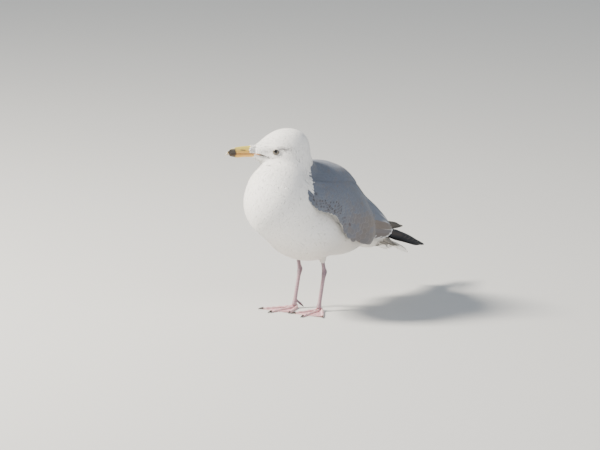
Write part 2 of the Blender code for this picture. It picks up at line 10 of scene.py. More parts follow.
import bpy
import numpy as np
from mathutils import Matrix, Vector


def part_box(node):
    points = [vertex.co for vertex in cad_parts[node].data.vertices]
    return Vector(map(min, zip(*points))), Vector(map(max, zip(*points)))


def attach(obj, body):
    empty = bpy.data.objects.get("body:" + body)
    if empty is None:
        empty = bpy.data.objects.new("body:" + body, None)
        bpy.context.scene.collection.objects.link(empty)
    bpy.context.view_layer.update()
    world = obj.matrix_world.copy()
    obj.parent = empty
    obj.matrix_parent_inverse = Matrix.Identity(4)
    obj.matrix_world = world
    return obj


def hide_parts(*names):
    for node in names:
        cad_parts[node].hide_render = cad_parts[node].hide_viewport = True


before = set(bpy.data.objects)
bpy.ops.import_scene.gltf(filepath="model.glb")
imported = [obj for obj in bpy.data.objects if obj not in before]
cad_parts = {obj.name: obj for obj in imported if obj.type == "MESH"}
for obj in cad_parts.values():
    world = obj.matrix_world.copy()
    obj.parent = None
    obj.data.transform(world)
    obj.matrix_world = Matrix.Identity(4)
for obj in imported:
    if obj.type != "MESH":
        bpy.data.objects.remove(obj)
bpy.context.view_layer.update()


# ---------------------------------------------------------------- camera
# A long lens far off, a little above the bird and to the left of its breast.
ORIGIN = np.array((0.0042, -0.0924, 0.0))     # the bird's own origin in the part's frame
VIEW_AZIMUTH, VIEW_ELEVATION = math.radians(36.0), math.radians(10.0)
VIEW_DISTANCE, LENS = 8.25, 300.0
AIM_RIGHT, AIM_UP = -0.0099, 0.1427           # the view's middle, across and up from the origin


def view_axes():
    """The camera's right, up and backward directions."""
    ca, sa = math.cos(VIEW_AZIMUTH), math.sin(VIEW_AZIMUTH)
    ce, se = math.cos(VIEW_ELEVATION), math.sin(VIEW_ELEVATION)
    return np.array((ca, sa, 0.0)), np.array((-sa * se, ca * se, ce)), np.array((sa * ce, -ca * ce, se))


def aimed(thing, place, target):
    """Puts a camera or a light at a place, looking at a target."""
    thing.location = place
    thing.rotation_euler = (Vector(target) - Vector(place)).to_track_quat("-Z", "Y").to_euler()


RIGHT, UP, BACK = view_axes()
AIM = ORIGIN + AIM_RIGHT * RIGHT + AIM_UP * UP
camera_data = bpy.data.cameras.new("camera")
camera_data.lens = LENS
camera_data.sensor_width = 36.0
camera_data.clip_end = 60.0
camera = bpy.data.objects.new("camera", camera_data)
bpy.context.scene.collection.objects.link(camera)
aimed(camera, AIM + BACK * VIEW_DISTANCE, AIM)
bpy.context.scene.camera = camera


# ---------------------------------------------------------------- floor and light
# A plain pale studio floor, a soft key from the bird's front right like a high sun, a pale fill and a low,
# warm bounce.
FLOOR_SIZE, FLOOR_HEX = 30.0, "C6C7C6"
KEY_PLACE, KEY_SIZE, KEY_POWER = (-2.7, 2.3, 0.7), 0.8, 480.0        # along right, up and back from the aim
FILL_PLACE, FILL_SIZE, FILL_POWER = (1.6, 1.0, 2.8), 2.5, 28.0
BOUNCE_PLACE, BOUNCE_SIZE, BOUNCE_POWER = (1.0, 0.15, 2.4), 1.6, 16.0
WORLD_HEX, WORLD_STRENGTH = "D3DCE6", 0.68


def linear(code, alpha=1.0):
    """An sRGB hex code as linear red, green, blue and alpha."""
    channels = [int(code[i:i + 2], 16) / 255 for i in (0, 2, 4)]
    return (*[c / 12.92 if c <= 0.04045 else ((c + 0.055) / 1.055) ** 2.4 for c in channels], alpha)


def add_node(material, kind, settings=None, links=None):
    """Adds a node; settings are its properties or input values by name, links are its inputs' sources."""
    made = material.node_tree.nodes.new(kind)
    for name, value in (settings or {}).items():
        if isinstance(name, int) or name in made.inputs:
            made.inputs[name].default_value = value
        else:
            setattr(made, name, value)
    for name, source in (links or {}).items():
        material.node_tree.links.new(source, made.inputs[name])
    return made


def new_material(name, **sockets):
    """A Principled material with the given socket values, and its shader node."""
    material = bpy.data.materials.new(name)
    material.use_nodes = True
    shader = material.node_tree.nodes["Principled BSDF"]
    for socket, value in sockets.items():
        shader.inputs[socket.replace("_", " ")].default_value = value
    return material, shader


def add_area(name, place, size, power, code):
    """A square area light aimed at the bird; its place runs along the view's right, up and back."""
    data = bpy.data.lights.new(name, "AREA")
    data.shape = "SQUARE"
    data.size = size
    data.energy = power
    data.color = linear(code)[:3]
    lamp = bpy.data.objects.new(name, data)
    bpy.context.scene.collection.objects.link(lamp)
    aimed(lamp, AIM + place[0] * RIGHT + place[1] * UP + place[2] * BACK, AIM)


floor_mesh = bpy.data.meshes.new("studio_floor")
half = FLOOR_SIZE / 2
floor_mesh.from_pydata(
    [(-half, -half, 0), (half, -half, 0), (half, half, 0), (-half, half, 0)], [], [(0, 1, 2, 3)])
floor = bpy.data.objects.new("studio_floor", floor_mesh)
bpy.context.scene.collection.objects.link(floor)
floor_paper, _ = new_material("matt_studio_paper", Base_Color=linear(FLOOR_HEX), Roughness=0.9)
floor_mesh.materials.append(floor_paper)
add_area("key_light", KEY_PLACE, KEY_SIZE, KEY_POWER, "FFF6E8")
add_area("fill_light", FILL_PLACE, FILL_SIZE, FILL_POWER, "EAF1FF")
add_area("bounce_light", BOUNCE_PLACE, BOUNCE_SIZE, BOUNCE_POWER, "FFF1E2")
world = bpy.data.worlds.new("pale_surround")
world.use_nodes = True
world.node_tree.nodes["Background"].inputs["Color"].default_value = linear(WORLD_HEX)
world.node_tree.nodes["Background"].inputs["Strength"].default_value = WORLD_STRENGTH
bpy.context.scene.world = world


# ---------------------------------------------------------------- the bird's form
# Not a piece: the soft union of ellipsoids that the solids were cut from, with the same named sizes.
SOFTNESS = 0.0065
BODY_FORMS = {   # centre, half-sizes across / along / deep, pitch nose-up in degrees
    "breast": ((0.000, -0.073, 0.190), (0.0585, 0.060, 0.057), 20),
    "belly": ((0.000, -0.018, 0.144), (0.056, 0.085, 0.052), 24),
    "flank": ((0.000, 0.062, 0.133), (0.048, 0.087, 0.046), 14),
    "mantle": ((0.000, 0.030, 0.210), (0.046, 0.067, 0.037), 12),
    "saddle": ((0.000, 0.066, 0.192), (0.036, 0.054, 0.034), 34),
    "rump": ((0.000, 0.120, 0.129), (0.028, 0.078, 0.020), 32),
    "vent": ((0.000, 0.140, 0.111), (0.024, 0.084, 0.013), 14),
    "neck": ((-0.003, -0.041, 0.238), (0.037, 0.038, 0.050), 0),
    "crop": ((-0.003, -0.074, 0.218), (0.044, 0.044, 0.036), 20),
}
WING_FORMS = {
    "shoulder": ((0.036, -0.022, 0.188), (0.030, 0.050, 0.034), 24),
    "arm": ((0.038, 0.045, 0.163), (0.028, 0.098, 0.044), 36),
    "elbow": ((0.018, 0.074, 0.184), (0.026, 0.050, 0.028), 38),
    "quills": ((0.023, 0.148, 0.133), (0.021, 0.082, 0.024), 38),
}
HEAD_CENTRE = np.array((-0.012, -0.048, 0.280))
HEAD_YAW, HEAD_ROLL = math.radians(36.0), math.radians(6.0)
HEAD_FORMS = {   # centre forward / left / up of the head's centre, half-sizes forward / across / up, nod
    "skull": ((-0.001, 0.000, 0.000), (0.033, 0.0250, 0.025), 0),
    "crown": ((-0.0125, 0.000, 0.004), (0.027, 0.022, 0.0225), 0),
    "cheeks": ((-0.004, 0.000, -0.011), (0.029, 0.0245, 0.016), 0),
    "lores": ((0.036, 0.000, -0.0070), (0.019, 0.0085, 0.0095), 0),
    "forehead": ((0.024, 0.000, 0.0000), (0.022, 0.0120, 0.0105), 24),
}
SPINE = np.array(((0.0, 0.188, 0.108), (0.0, 0.080, 0.154), (0.0, -0.036, 0.152), (0.0, -0.060, 0.260)))
# (share of the spine, degrees down from the back's middle) along a folded wing's two long edges
WING_TOP_EDGE = ((-0.2, 1.6), (0.2, 1.8), (0.4, 9.0), (0.6, 26.0), (0.78, 42.0), (0.9, 60.0))
WING_LOW_EDGE = (
    (-0.2, 88.0), (0.0, 92.0), (0.085, 101.0), (0.18, 111.0), (0.275, 115.0), (0.37, 115.0),
    (0.475, 107.0), (0.595, 96.0), (0.69, 97.0), (0.76, 106.0), (0.84, 113.0), (0.95, 118.0))
BEND, WING_END = 1.10, 0.0                    # shares of the spine at the wing's bend and at the tertials' end


def rolled(pitch):
    """Columns are a form's across, along and up axes after it pitches nose-up."""
    c, s = math.cos(math.radians(pitch)), math.sin(math.radians(pitch))
    return np.array(((1, 0, 0), (0, c, s), (0, -s, c)))


def head_axes():
    """Columns are the head's forward, left and up axes: rolled to its left, then turned to its right."""
    cy, sy = math.cos(-HEAD_YAW), math.sin(-HEAD_YAW)
    cr, sr = math.cos(HEAD_ROLL), math.sin(HEAD_ROLL)
    turn = np.array(((cy, -sy, 0), (sy, cy, 0), (0, 0, 1))) @ np.array(((cr, 0, sr), (0, 1, 0), (-sr, 0, cr)))
    return np.stack([-turn[:, 1], turn[:, 0], turn[:, 2]], axis=1)


def ellipsoids(forms, mirrored=False):
    """(centre, axes, half-sizes) of each body form, with its mirror image where asked."""
    found = []
    for centre, sizes, pitch in forms.values():
        for side in ((1, -1) if mirrored else (1,)):
            found.append((np.array(centre) * (side, 1, 1), rolled(pitch), np.array(sizes)))
    return found


def head_ellipsoids():
    """The head's forms, placed and turned with the head."""
    found = []
    for centre, sizes, nod in HEAD_FORMS.values():
        c, s = math.cos(math.radians(nod)), math.sin(math.radians(nod))
        place = HEAD_CENTRE + HEAD @ np.array(centre)
        found.append((place, HEAD @ np.array(((c, 0, s), (0, 1, 0), (-s, 0, c))), np.array(sizes)))
    return found


def form(points, parts):
    """Signed distance to the soft union, and its outward direction.

    Each ellipsoid's distance is k (k - 1) / m, with k the length of the scaled place and m its slope. The
    union is -softness times the log of the sum of exp(-distance / softness).
    """
    total = np.zeros(points.shape[:-1])
    normal = np.zeros(points.shape)
    for centre, axes, sizes in parts:
        scaled = ((points - centre) @ axes) / sizes
        reach = np.linalg.norm(scaled, axis=-1) + 1e-9
        slope = np.linalg.norm(scaled / sizes, axis=-1) + 1e-9
        weight = np.exp(-np.clip(reach * (reach - 1) / slope, -0.2, 0.4) / SOFTNESS)
        total += weight
        normal += (weight / slope)[..., None] * ((scaled / sizes) @ axes.T)
    normal = normal / (np.linalg.norm(normal, axis=-1, keepdims=True) + 1e-12)
    return -SOFTNESS * np.log(total + 1e-300), normal


def unit(vectors):
    """The vectors at length 1: v / |v|."""
    return vectors / (np.linalg.norm(vectors, axis=-1, keepdims=True) + 1e-12)


def smooth(value, low, high):
    """0 below low, 1 above high, and an S-curve between."""
    t = np.clip((value - low) / (high - low), 0, 1)
    return t * t * (3 - 2 * t)


def spine_frame(share):
    """Point, forward tangent and up axis of the spine, a cubic curve that runs straight past its tail end."""
    share = np.asarray(share, float)
    a, b, c, d = SPINE
    t = np.maximum(share, 0)[..., None]
    point = (1 - t) ** 3 * a + 3 * (1 - t) ** 2 * t * b + 3 * (1 - t) * t ** 2 * c + t ** 3 * d
    slope = 3 * ((1 - t) ** 2 * (b - a) + 2 * (1 - t) * t * (c - b) + t ** 2 * (d - c))
    point = point + np.minimum(share, 0)[..., None] * 3 * (b - a)
    tangent = unit(slope)
    return point, tangent, np.cross(tangent, (1.0, 0.0, 0.0))


def along_spine(points):
    """Each point's share of the spine, and its angle down from the back's middle, left positive."""
    flat = points.reshape(-1, 3)
    stations = np.linspace(-0.35, 1.05, 141)
    places = spine_frame(stations)[0]
    share = np.empty(len(flat))
    for start in range(0, len(flat), 40000):
        part = flat[start:start + 40000]
        gap = (places ** 2).sum(axis=1)[None, :] - 2 * part @ places.T
        share[start:start + 40000] = stations[np.argmin(gap, axis=1)]
    place, tangent, up = spine_frame(share)
    offset = flat - place
    angle = np.degrees(np.arctan2(offset[:, 0], (offset * up).sum(axis=1)))
    return share.reshape(points.shape[:-1]), angle.reshape(points.shape[:-1])


def through(pairs, at):
    """A smooth curve through (place, value) pairs, its slope at each the mean of its neighbours'."""
    place, value = np.array(pairs).T
    slope = np.gradient(value, place)
    index = np.clip(np.searchsorted(place, at) - 1, 0, len(place) - 2)
    width = place[index + 1] - place[index]
    t = np.clip((at - place[index]) / width, 0, 1)
    first = (2 * t ** 3 - 3 * t ** 2 + 1) * value[index] + (t ** 3 - 2 * t ** 2 + t) * width * slope[index]
    return first + (3 * t ** 2 - 2 * t ** 3) * value[index + 1] + (t ** 3 - t ** 2) * width * slope[index + 1]


def wing_share(points):
    """How much a point lies in a folded wing: 1 within its two long edges and its ends, 0 outside them."""
    share, angle = along_spine(points)
    angle = np.abs(angle)
    top, low = through(WING_TOP_EDGE, share), through(WING_LOW_EDGE, share)
    inside = smooth(angle, top - 1, top + 5) * (1 - smooth(angle, low - 7, low - 1))
    return inside * smooth(share, WING_END - 0.06, WING_END) * (1 - smooth(share, BEND - 0.13, BEND))


def whole_form(points):
    """The body's form, swelling to the wings' form within the folded wings."""
    body, normal = form(points, BODY)
    wings, wing_normal = form(points, WINGED)
    inside = wing_share(points)
    blended = unit(normal * (1 - inside)[..., None] + wing_normal * inside[..., None])
    return body + (wings - body) * inside, blended


def settle(points, height, surface, steps=3):
    """Moves points along the surface's own outward direction until they stand at a height over it."""
    for _ in range(steps):
        gap, normal = surface(points)
        points = points + normal * np.clip(height - gap, -0.006, 0.006)[..., None]
    return points


HEAD = head_axes()
BODY = ellipsoids(BODY_FORMS) + head_ellipsoids()
WINGED = BODY + ellipsoids(WING_FORMS, mirrored=True)


def body_surface(points):
    """The body's form without the wings."""
    return form(points, BODY)


# ---------------------------------------------------------------- skin
# One seamless skin under the coat of head, neck, trunk and folded wings; the thighs belong to the legs. It is
# the bird's form sunk by the coat's depth, least at the bill and the eyes, and it carries the coat's markings
# and painted shade.
SKIN_SPACING = 0.0022
COAT_DEPTH, FACE_DEPTH = 0.0014, 0.0007
BARBS = 34.0                                  # streaks to a vane's length
# the grey is darker than the back's own pale grey: painted shade over the back and wings
WHITE_HEX, UNDER_SHADE_HEX, GREY_HEX, STREAK_HEX = "F4F3F0", "E4DDD2", "646C7A", "4F4B4E"
# how far forward the grey of the back reaches: (degrees down from the back's middle, share of the spine)
GREY_FRONT = (
    (0, 0.95), (40, 0.94), (60, 0.935), (72, 0.925), (83, 0.905), (97, 0.885), (107, 0.868), (115, 0.842),
    (124, 0.82), (180, 0.82))
GREY_REAR = 0.20
# faint face marks, and painted brow shade over the eye: centre forward / left / up of the head's centre,
# half-sizes, strength; both sides alike
FACE_MARKS_AND_SHADE = (
    ((0.0080, 0.0225, 0.0055), (0.0095, 0.010, 0.0032), 1.00),     # smudge behind the eye, with painted brow shade over it
    ((0.0300, 0.0120, -0.0010), (0.0100, 0.009, 0.0022), 0.60),    # lores
    ((0.0300, 0.0180, -0.0095), (0.0150, 0.012, 0.0013), 0.80),    # line back from the gape
    ((0.0020, 0.0240, -0.0060), (0.0130, 0.010, 0.0022), 0.45),    # ear coverts
    ((0.0250, 0.0180, 0.0010), (0.0050, 0.010, 0.0030), 0.70),     # before the eye
    ((0.0380, 0.0100, -0.0170), (0.0070, 0.008, 0.0014), 0.35),    # chin
)


# folds of the face under the plumage, in the same terms: height over the head's form last
FACE_FOLDS = (
    ((0.0180, 0.0210, 0.0058), (0.0100, 0.010, 0.0030), 0.0013),   # brow
    ((0.0060, 0.0250, -0.0110), (0.0120, 0.012, 0.0070), 0.0010),  # cheek
    ((0.0300, 0.0160, -0.0010), (0.0060, 0.010, 0.0040), -0.0007), # hollow before the eye
    ((0.0175, 0.0230, -0.0015), (0.0052, 0.012, 0.0046), -0.0012), # socket
)


def rgb(code):
    """An sRGB hex code as an array of linear red, green and blue."""
    return np.array(linear(code)[:3])


def texture(material, settings, kind="ShaderNodeTexNoise"):
    """The first output of a texture that is fixed to the piece's own coordinates."""
    place = add_node(material, "ShaderNodeTexCoord").outputs["Object"]
    return add_node(material, kind, settings, {"Vector": place}).outputs[0]


def ranged(material, source, low, high, start=0.3, end=0.7):
    """A shade that goes from low to high while the source goes from start to end."""
    return add_node(material, "ShaderNodeMapRange", {
        "From Min": start, "From Max": end, "To Min": low, "To Max": high}, {"Value": source}).outputs[0]


def painted(material, shader, shade=None):
    """Gives a material its mesh's painted colours, times a shade where there is one."""
    colour = add_node(material, "ShaderNodeAttribute", {"attribute_name": "colour"}).outputs[0]
    if shade is not None:
        colour = add_node(material, "ShaderNodeMix", {"data_type": "RGBA", "blend_type": "MULTIPLY", 0: 1.0}, {
            6: colour, 7: shade}).outputs[2]
    material.node_tree.links.new(colour, shader.inputs["Base Color"])


def grained(material, shader, strength, distance, height):
    """Roughens a material with a bump that follows the given height."""
    relief = add_node(
        material, "ShaderNodeBump", {"Strength": strength, "Distance": distance}, {"Height": height})
    material.node_tree.links.new(relief.outputs[0], shader.inputs["Normal"])


def mesh_from(name, points, faces):
    """A mesh from whole arrays of points and equal-sided faces, shaded smooth."""
    mesh = bpy.data.meshes.new(name)
    mesh.vertices.add(len(points))
    mesh.vertices.foreach_set("co", np.ascontiguousarray(points, np.float32).ravel())
    mesh.loops.add(faces.size)
    mesh.loops.foreach_set("vertex_index", np.ascontiguousarray(faces, np.int32).ravel())
    mesh.polygons.add(len(faces))
    mesh.polygons.foreach_set("loop_start", np.arange(0, faces.size, faces.shape[1], dtype=np.int32))
    mesh.update(calc_edges=True)
    mesh.shade_smooth()
    return mesh


def paint(mesh, colours):
    """Stores one linear colour per vertex under the name that the materials read."""
    layer = mesh.attributes.new("colour", "FLOAT_COLOR", "POINT")
    rgba = np.ones((len(mesh.vertices), 4), np.float32)
    rgba[:, :3] = colours
    layer.data.foreach_set("color", rgba.ravel())


def add_piece(name, mesh, material, replaced=()):
    """Puts a mesh in the scene as a piece of the bird."""
    mesh.materials.append(material)
    piece = bpy.data.objects.new(name, mesh)
    bpy.context.scene.collection.objects.link(piece)
    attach(piece, "root")
    if replaced:
        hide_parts(*replaced)
    return piece


def ball(rings=24):
    """Points and four-sided faces of a unit ball, its rows from pole to pole."""
    polar = np.linspace(0, math.pi, rings + 1)[:, None]
    turn = np.linspace(0, 2 * math.pi, 2 * rings, endpoint=False)[None, :]
    points = np.stack(
        [np.sin(polar) * np.cos(turn), np.sin(polar) * np.sin(turn), np.cos(polar) + 0 * turn], -1)
    i, j = np.meshgrid(np.arange(rings), np.arange(2 * rings), indexing="ij")
    k = (j + 1) % (2 * rings)
    faces = np.stack(
        [i * 2 * rings + j, (i + 1) * 2 * rings + j, (i + 1) * 2 * rings + k, i * 2 * rings + k], -1)
    return points.reshape(-1, 3), faces.reshape(-1, 4)


def grown(parts, spacing):
    """An even net of points and faces round the ellipsoids: their balls, merged on a grid of that spacing."""
    unit_points, unit_faces = ball()
    points = np.concatenate([centre + (unit_points * sizes) @ axes.T for centre, axes, sizes in parts])
    faces = np.concatenate([unit_faces + i * len(unit_points) for i in range(len(parts))])
    seed = bpy.data.objects.new("seed", mesh_from("seed", points, faces))
    bpy.context.scene.collection.objects.link(seed)
    remesh = seed.modifiers.new("remesh", "REMESH")
    remesh.mode = "VOXEL"
    remesh.voxel_size = spacing
    even = seed.evaluated_get(bpy.context.evaluated_depsgraph_get()).to_mesh()
    net = np.empty(len(even.vertices) * 3, np.float32)
    even.vertices.foreach_get("co", net)
    corners = np.empty(len(even.loops), np.int32)
    even.loops.foreach_get("vertex_index", corners)
    bpy.data.objects.remove(seed)
    return net.reshape(-1, 3).astype(float), corners.reshape(-1, 4)


def in_head(points):
    """Places forward, left and up of the head's centre, in the head's own turn."""
    return (points - HEAD_CENTRE) @ HEAD


def head_share(points):
    """1 on the head and 0 below the upper neck and on the breast before it."""
    local = in_head(points)
    above = smooth((points - HEAD_CENTRE)[..., 2] + 0.30 * local[..., 0], -0.030, -0.016)
    return above * (1 - smooth(np.hypot(local[..., 1], local[..., 2]), 0.036, 0.043))


def face_share(points):
    """1 at the bill's root and 0 behind the crown: how short the plumage is."""
    return smooth(in_head(points)[..., 0], -0.012, 0.040) * head_share(points)


def coat_depth(points):
    """How far the skin lies under the coat's face: least on the face, and next to the eyes."""
    return FACE_DEPTH + (COAT_DEPTH - FACE_DEPTH) * (1 - face_share(points))


def grey_share(share, angle):
    """1 in the grey of back and wings, 0 in the white of neck, breast and rump."""
    angle = np.abs(angle)
    front, low = through(GREY_FRONT, angle), through(WING_LOW_EDGE, share)
    before_rear = smooth(share, GREY_REAR - 0.04, GREY_REAR)
    return smooth(front - share, -0.006, 0.012) * before_rear * smooth(low - angle, 5, 9)


def face_relief(points):
    """Height that the face adds to the head: brow ridges, cheeks, and hollows before and round the eyes."""
    local = in_head(points)
    local[..., 1] = np.abs(local[..., 1])
    height = np.zeros(points.shape[:-1])
    for centre, sizes, rise in FACE_FOLDS:
        height += rise * np.exp(-(((local - np.array(centre)) / np.array(sizes)) ** 2).sum(axis=-1))
    return height


def face_marks_and_shade(points):
    """How dark the face's streaks, and the painted brow shade over the eyes, are at each point."""
    local = in_head(points)
    local[..., 1] = np.abs(local[..., 1])
    dark = np.zeros(points.shape[:-1])
    for centre, sizes, strength in FACE_MARKS_AND_SHADE:
        away = (((local - np.array(centre)) / np.array(sizes)) ** 2).sum(axis=-1)
        dark = np.maximum(dark, strength * np.exp(-away))
    return dark


def plumage(points, chance, back=1.0):
    """The body plumage's linear colour: white, warmed beneath as painted shade, grey on the back, streaked on
    the face, with painted brow shade over the eyes.

    chance is an even random number from 0 to 1 for each place, which frets the markings' edges.
    """
    share, angle = along_spine(points)
    white, warm_under_shade, grey, streak = (rgb(code) for code in (WHITE_HEX, UNDER_SHADE_HEX, GREY_HEX, STREAK_HEX))
    # painted shade and reflected light: the white is warmed and dulled low on the body
    low = smooth(-points[..., 2], -0.16, -0.10)[..., None] * 0.7
    colour = white + (warm_under_shade - white) * low
    is_grey = smooth(grey_share(share, angle), 0.02 + 0.84 * chance, 0.14 + 0.84 * chance)[..., None]
    colour = colour + (grey - colour) * is_grey * back * (1 - head_share(points))[..., None]
    dark = (face_marks_and_shade(points) * (0.55 + 0.9 * chance))[..., None]
    return colour + (streak - colour) * np.clip(dark, 0, 0.9)


def plumage_material(name, roughness, sheen, contrast, shaft=0.0):
    """Feather vanes with a silky sheen: barbs slant from the shaft as a noise of BARBS streaks to a vane."""
    material, shader = new_material(name, Roughness=roughness, Sheen_Weight=sheen, Sheen_Roughness=0.45,
                                    Specular_IOR_Level=0.28, IOR=1.54)
    vane = add_node(material, "ShaderNodeUVMap", {"uv_map": "vane"})
    split = add_node(material, "ShaderNodeSeparateXYZ", links={0: vane.outputs[0]})
    across = add_node(material, "ShaderNodeMath", {"operation": "SUBTRACT", 1: 0.5}, {0: split.outputs[0]})
    from_shaft = add_node(material, "ShaderNodeMath", {"operation": "ABSOLUTE"}, {0: across.outputs[0]})
    slant = add_node(material, "ShaderNodeMath", {"operation": "MULTIPLY_ADD", 1: -0.9}, {
        0: from_shaft.outputs[0], 2: split.outputs[1]})
    fine = add_node(material, "ShaderNodeMath", {"operation": "MULTIPLY", 1: BARBS}, {0: slant.outputs[0]})
    place = add_node(material, "ShaderNodeCombineXYZ", links={0: from_shaft.outputs[0], 1: fine.outputs[0]})
    barbs = add_node(
        material, "ShaderNodeTexNoise", {"Scale": 1.0, "Detail": 2.0}, {"Vector": place.outputs[0]})
    shade = ranged(material, barbs.outputs[0], 1.0 - contrast, 1.0)
    rachis = ranged(material, from_shaft.outputs[0], 1.0 - shaft, 1.0, 0.012, 0.03)
    both = add_node(material, "ShaderNodeMath", {"operation": "MULTIPLY"}, {0: shade, 1: rachis})
    painted(material, shader, both.outputs[0])
    grained(material, shader, 0.25, 0.0003, barbs.outputs[0])
    return material


down_skin, down_shader = new_material("down_covered_skin", Roughness=0.85, Specular_IOR_Level=0.2)
painted(down_skin, down_shader)
grained(down_skin, down_shader, 0.4, 0.0005, texture(down_skin, {"Scale": 700.0, "Detail": 3.0}))

EYES = [
    np.array([sum(pair) / 2 for pair in zip(*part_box("eye_" + side))]) - ORIGIN for side in ("left", "right")]
EYE_RADIUS = 0.0072
chance = np.random.default_rng(11)
skin_points, skin_faces = grown(WINGED, SKIN_SPACING)
bare = smooth(np.minimum.reduce([np.linalg.norm(skin_points - place, axis=1) for place in EYES]), 0.006, 0.014)
depth = coat_depth(skin_points) * (0.35 + 0.65 * bare)
skin_points = settle(skin_points, face_relief(skin_points) - depth, whole_form, steps=6)
skin_mesh = mesh_from("skin", skin_points + ORIGIN, skin_faces)
paint(skin_mesh, plumage(skin_points, chance.random(len(skin_points))) * 0.92)
add_piece("skin", skin_mesh, down_skin, (
    "head", "neck", "trunk", "wing_left_coverts", "wing_right_coverts"))


# ---------------------------------------------------------------- body plumage
# Contour feathers of head, neck, breast, belly, flanks, back and rump. Each is a thin cupped vane, rooted in
# the skin and lying towards the tail over the next, with a round, frayed, silky tip.
HEAD_NET, BODY_NET, BACK_NET = 0.0017, 0.0031, 0.0048       # spacing of the feathers' roots
TUFT_PATCH = 0.003                            # size of one feather's patch on the bake map
HEAD_LENGTH, FACE_SHORTER, BODY_LENGTH, BACK_LENGTH = 0.0092, 0.0054, 0.0124, 0.0145      # feathers' lengths
EYE_CLEAR = 0.0044                            # radius round the eye's opening that no feather crosses
GAPE_NOTCH = 0.013                            # how far the bare corner of the mouth runs back into the feathers


def unwrap(points):
    """Bake-map places: trunk and neck by angle and share of the spine, the head by polar angles about it."""
    share, angle = along_spine(points)
    flat = np.stack([0.5 + angle / 370, 0.02 + 0.60 * (share + 0.35) / 1.4], axis=-1)
    local = unit(in_head(points))
    polar = np.arccos(np.clip(local[..., 0], -1, 1))
    turn = np.arctan2(local[..., 1], -local[..., 2])
    top = np.stack([0.5 + turn / 6.6, 0.66 + 0.32 * polar / math.pi], axis=-1)
    return np.where((head_share(points) > 0.5)[..., None], top, flat)


def lie_of(points, normal):
    """The feathers' lie: back from the bill and down on the head, then along the body to the tail."""
    share, angle = along_spine(points)
    past = share - through(GREY_FRONT, np.abs(angle))
    tailward = -spine_frame(share)[1]
    over_head = -HEAD[:, 0] - 0.55 * HEAD[:, 2]
    down_neck = np.array((0.0, -0.12, -1.0))
    beyond = np.where(np.abs(angle) < 125, smooth(past, 0.01, 0.12), 1.0)
    on_neck = (smooth(share, 0.62, 0.86) * beyond)[..., None]
    on_head = head_share(points)[..., None]
    way = tailward * (1 - on_neck) + down_neck * on_neck
    way = way * (1 - on_head) + over_head * on_head
    return unit(way - normal * (way * normal).sum(axis=-1, keepdims=True))


def vane_grid(rows, columns, count, chance, rounding, fray):
    """Shares along (0 to 1) and across (-1 to 1) each vane, the tip's rounding and frayed ends included."""
    s = np.linspace(0, 1, rows + 1)[None, :, None]
    t = np.linspace(-1, 1, columns + 1)[None, None, :]
    teeth = (np.arange(columns + 1) % 2)[None, None, :] * (0.4 + 0.6 * chance.random((count, 1, columns + 1)))
    reach = s * (1 - rounding * t ** 2) * (1 - fray * teeth * smooth(s, 0.45, 1.0))
    return s, t, reach


def add_vanes(name, points, patch, colours, s, t, material, replaced=()):
    """Adds one piece of many vanes from a (count, rows, columns) grid of points, with two maps and paint."""
    count, rows, columns = points.shape[:3]
    grid = np.arange(rows * columns).reshape(rows, columns)
    faces = np.stack([grid[:-1, :-1], grid[1:, :-1], grid[1:, 1:], grid[:-1, 1:]], -1).reshape(-1, 4)
    faces = (np.arange(count)[:, None, None] * rows * columns + faces[None]).reshape(-1, 4)
    mesh = mesh_from(name, points.reshape(-1, 3) + ORIGIN, faces)
    paint(mesh, np.broadcast_to(colours, points.shape).reshape(-1, 3))
    bake = patch[:, None, None, :] + np.stack([
        t * TUFT_PATCH / 2 + 0 * s + np.zeros((count, 1, 1)),
        (s - 0.5) * TUFT_PATCH + 0 * t + np.zeros((count, 1, 1))], -1)
    vane = np.stack([(t + 1) / 2 + 0 * s, s + 0 * t], -1) + np.zeros((count, 1, 1, 1))
    for title, layer in (("OFBake", bake), ("vane", vane)):
        uv = mesh.uv_layers.new(name=title)
        uv.uv.foreach_set("vector", layer.reshape(-1, 2)[faces.ravel()].astype(np.float32).ravel())
    return add_piece(name, mesh, material, replaced)


def lay_vanes(roots, normal, lie, sizes, surface, chance, rows=4, columns=6, rounding=0.36, fray=0.22):
    """Points of vanes laid from their roots along the lie, and settled at their heights over the surface.

    sizes holds length, width, root depth, tip rise and cup for each. A vane is narrow at its root, full from
    its middle and drawn in at its tip. Its height is -depth (1 - s)^7 + rise (2 s - 1), less the cup times the
    square of the place across, so that each tip just clears the vanes beneath it.
    """
    count = len(roots)
    length, width, sunk, rise, cup = (np.broadcast_to(size, count)[:, None, None] for size in sizes)
    across_way = np.cross(normal, lie)
    s, t, reach = vane_grid(rows, columns, count, chance, rounding, fray)
    outline = (0.42 + 0.58 * np.sin(math.pi / 2 * np.minimum(s / 0.55, 1))) * (1 - 0.48 * smooth(s, 0.62, 1.0))
    along = length * reach
    across = width / 2 * t * outline
    bow = width * 0.35 * chance.normal(size=(count, 1, 1)) * s ** 2
    points = roots[:, None, None, :] + along[..., None] * lie[:, None, None, :]
    points = points + (across + bow)[..., None] * across_way[:, None, None, :]
    roll = chance.normal(size=(count, 1, 1)) * 0.15
    height = -sunk * (1 - s) ** 7 + rise * (2 * s - 1) - cup * t ** 2 * (0.4 + 0.6 * s) + cup * roll * t
    return settle(points, height + face_relief(points), surface), s, t


def turned(lie, normal, chance, spread):
    """The lie, swung about the normal by a random angle of that spread in degrees."""
    angle = np.radians(chance.normal(size=len(lie)) * spread)[:, None]
    return lie * np.cos(angle) + np.cross(normal, lie) * np.sin(angle)


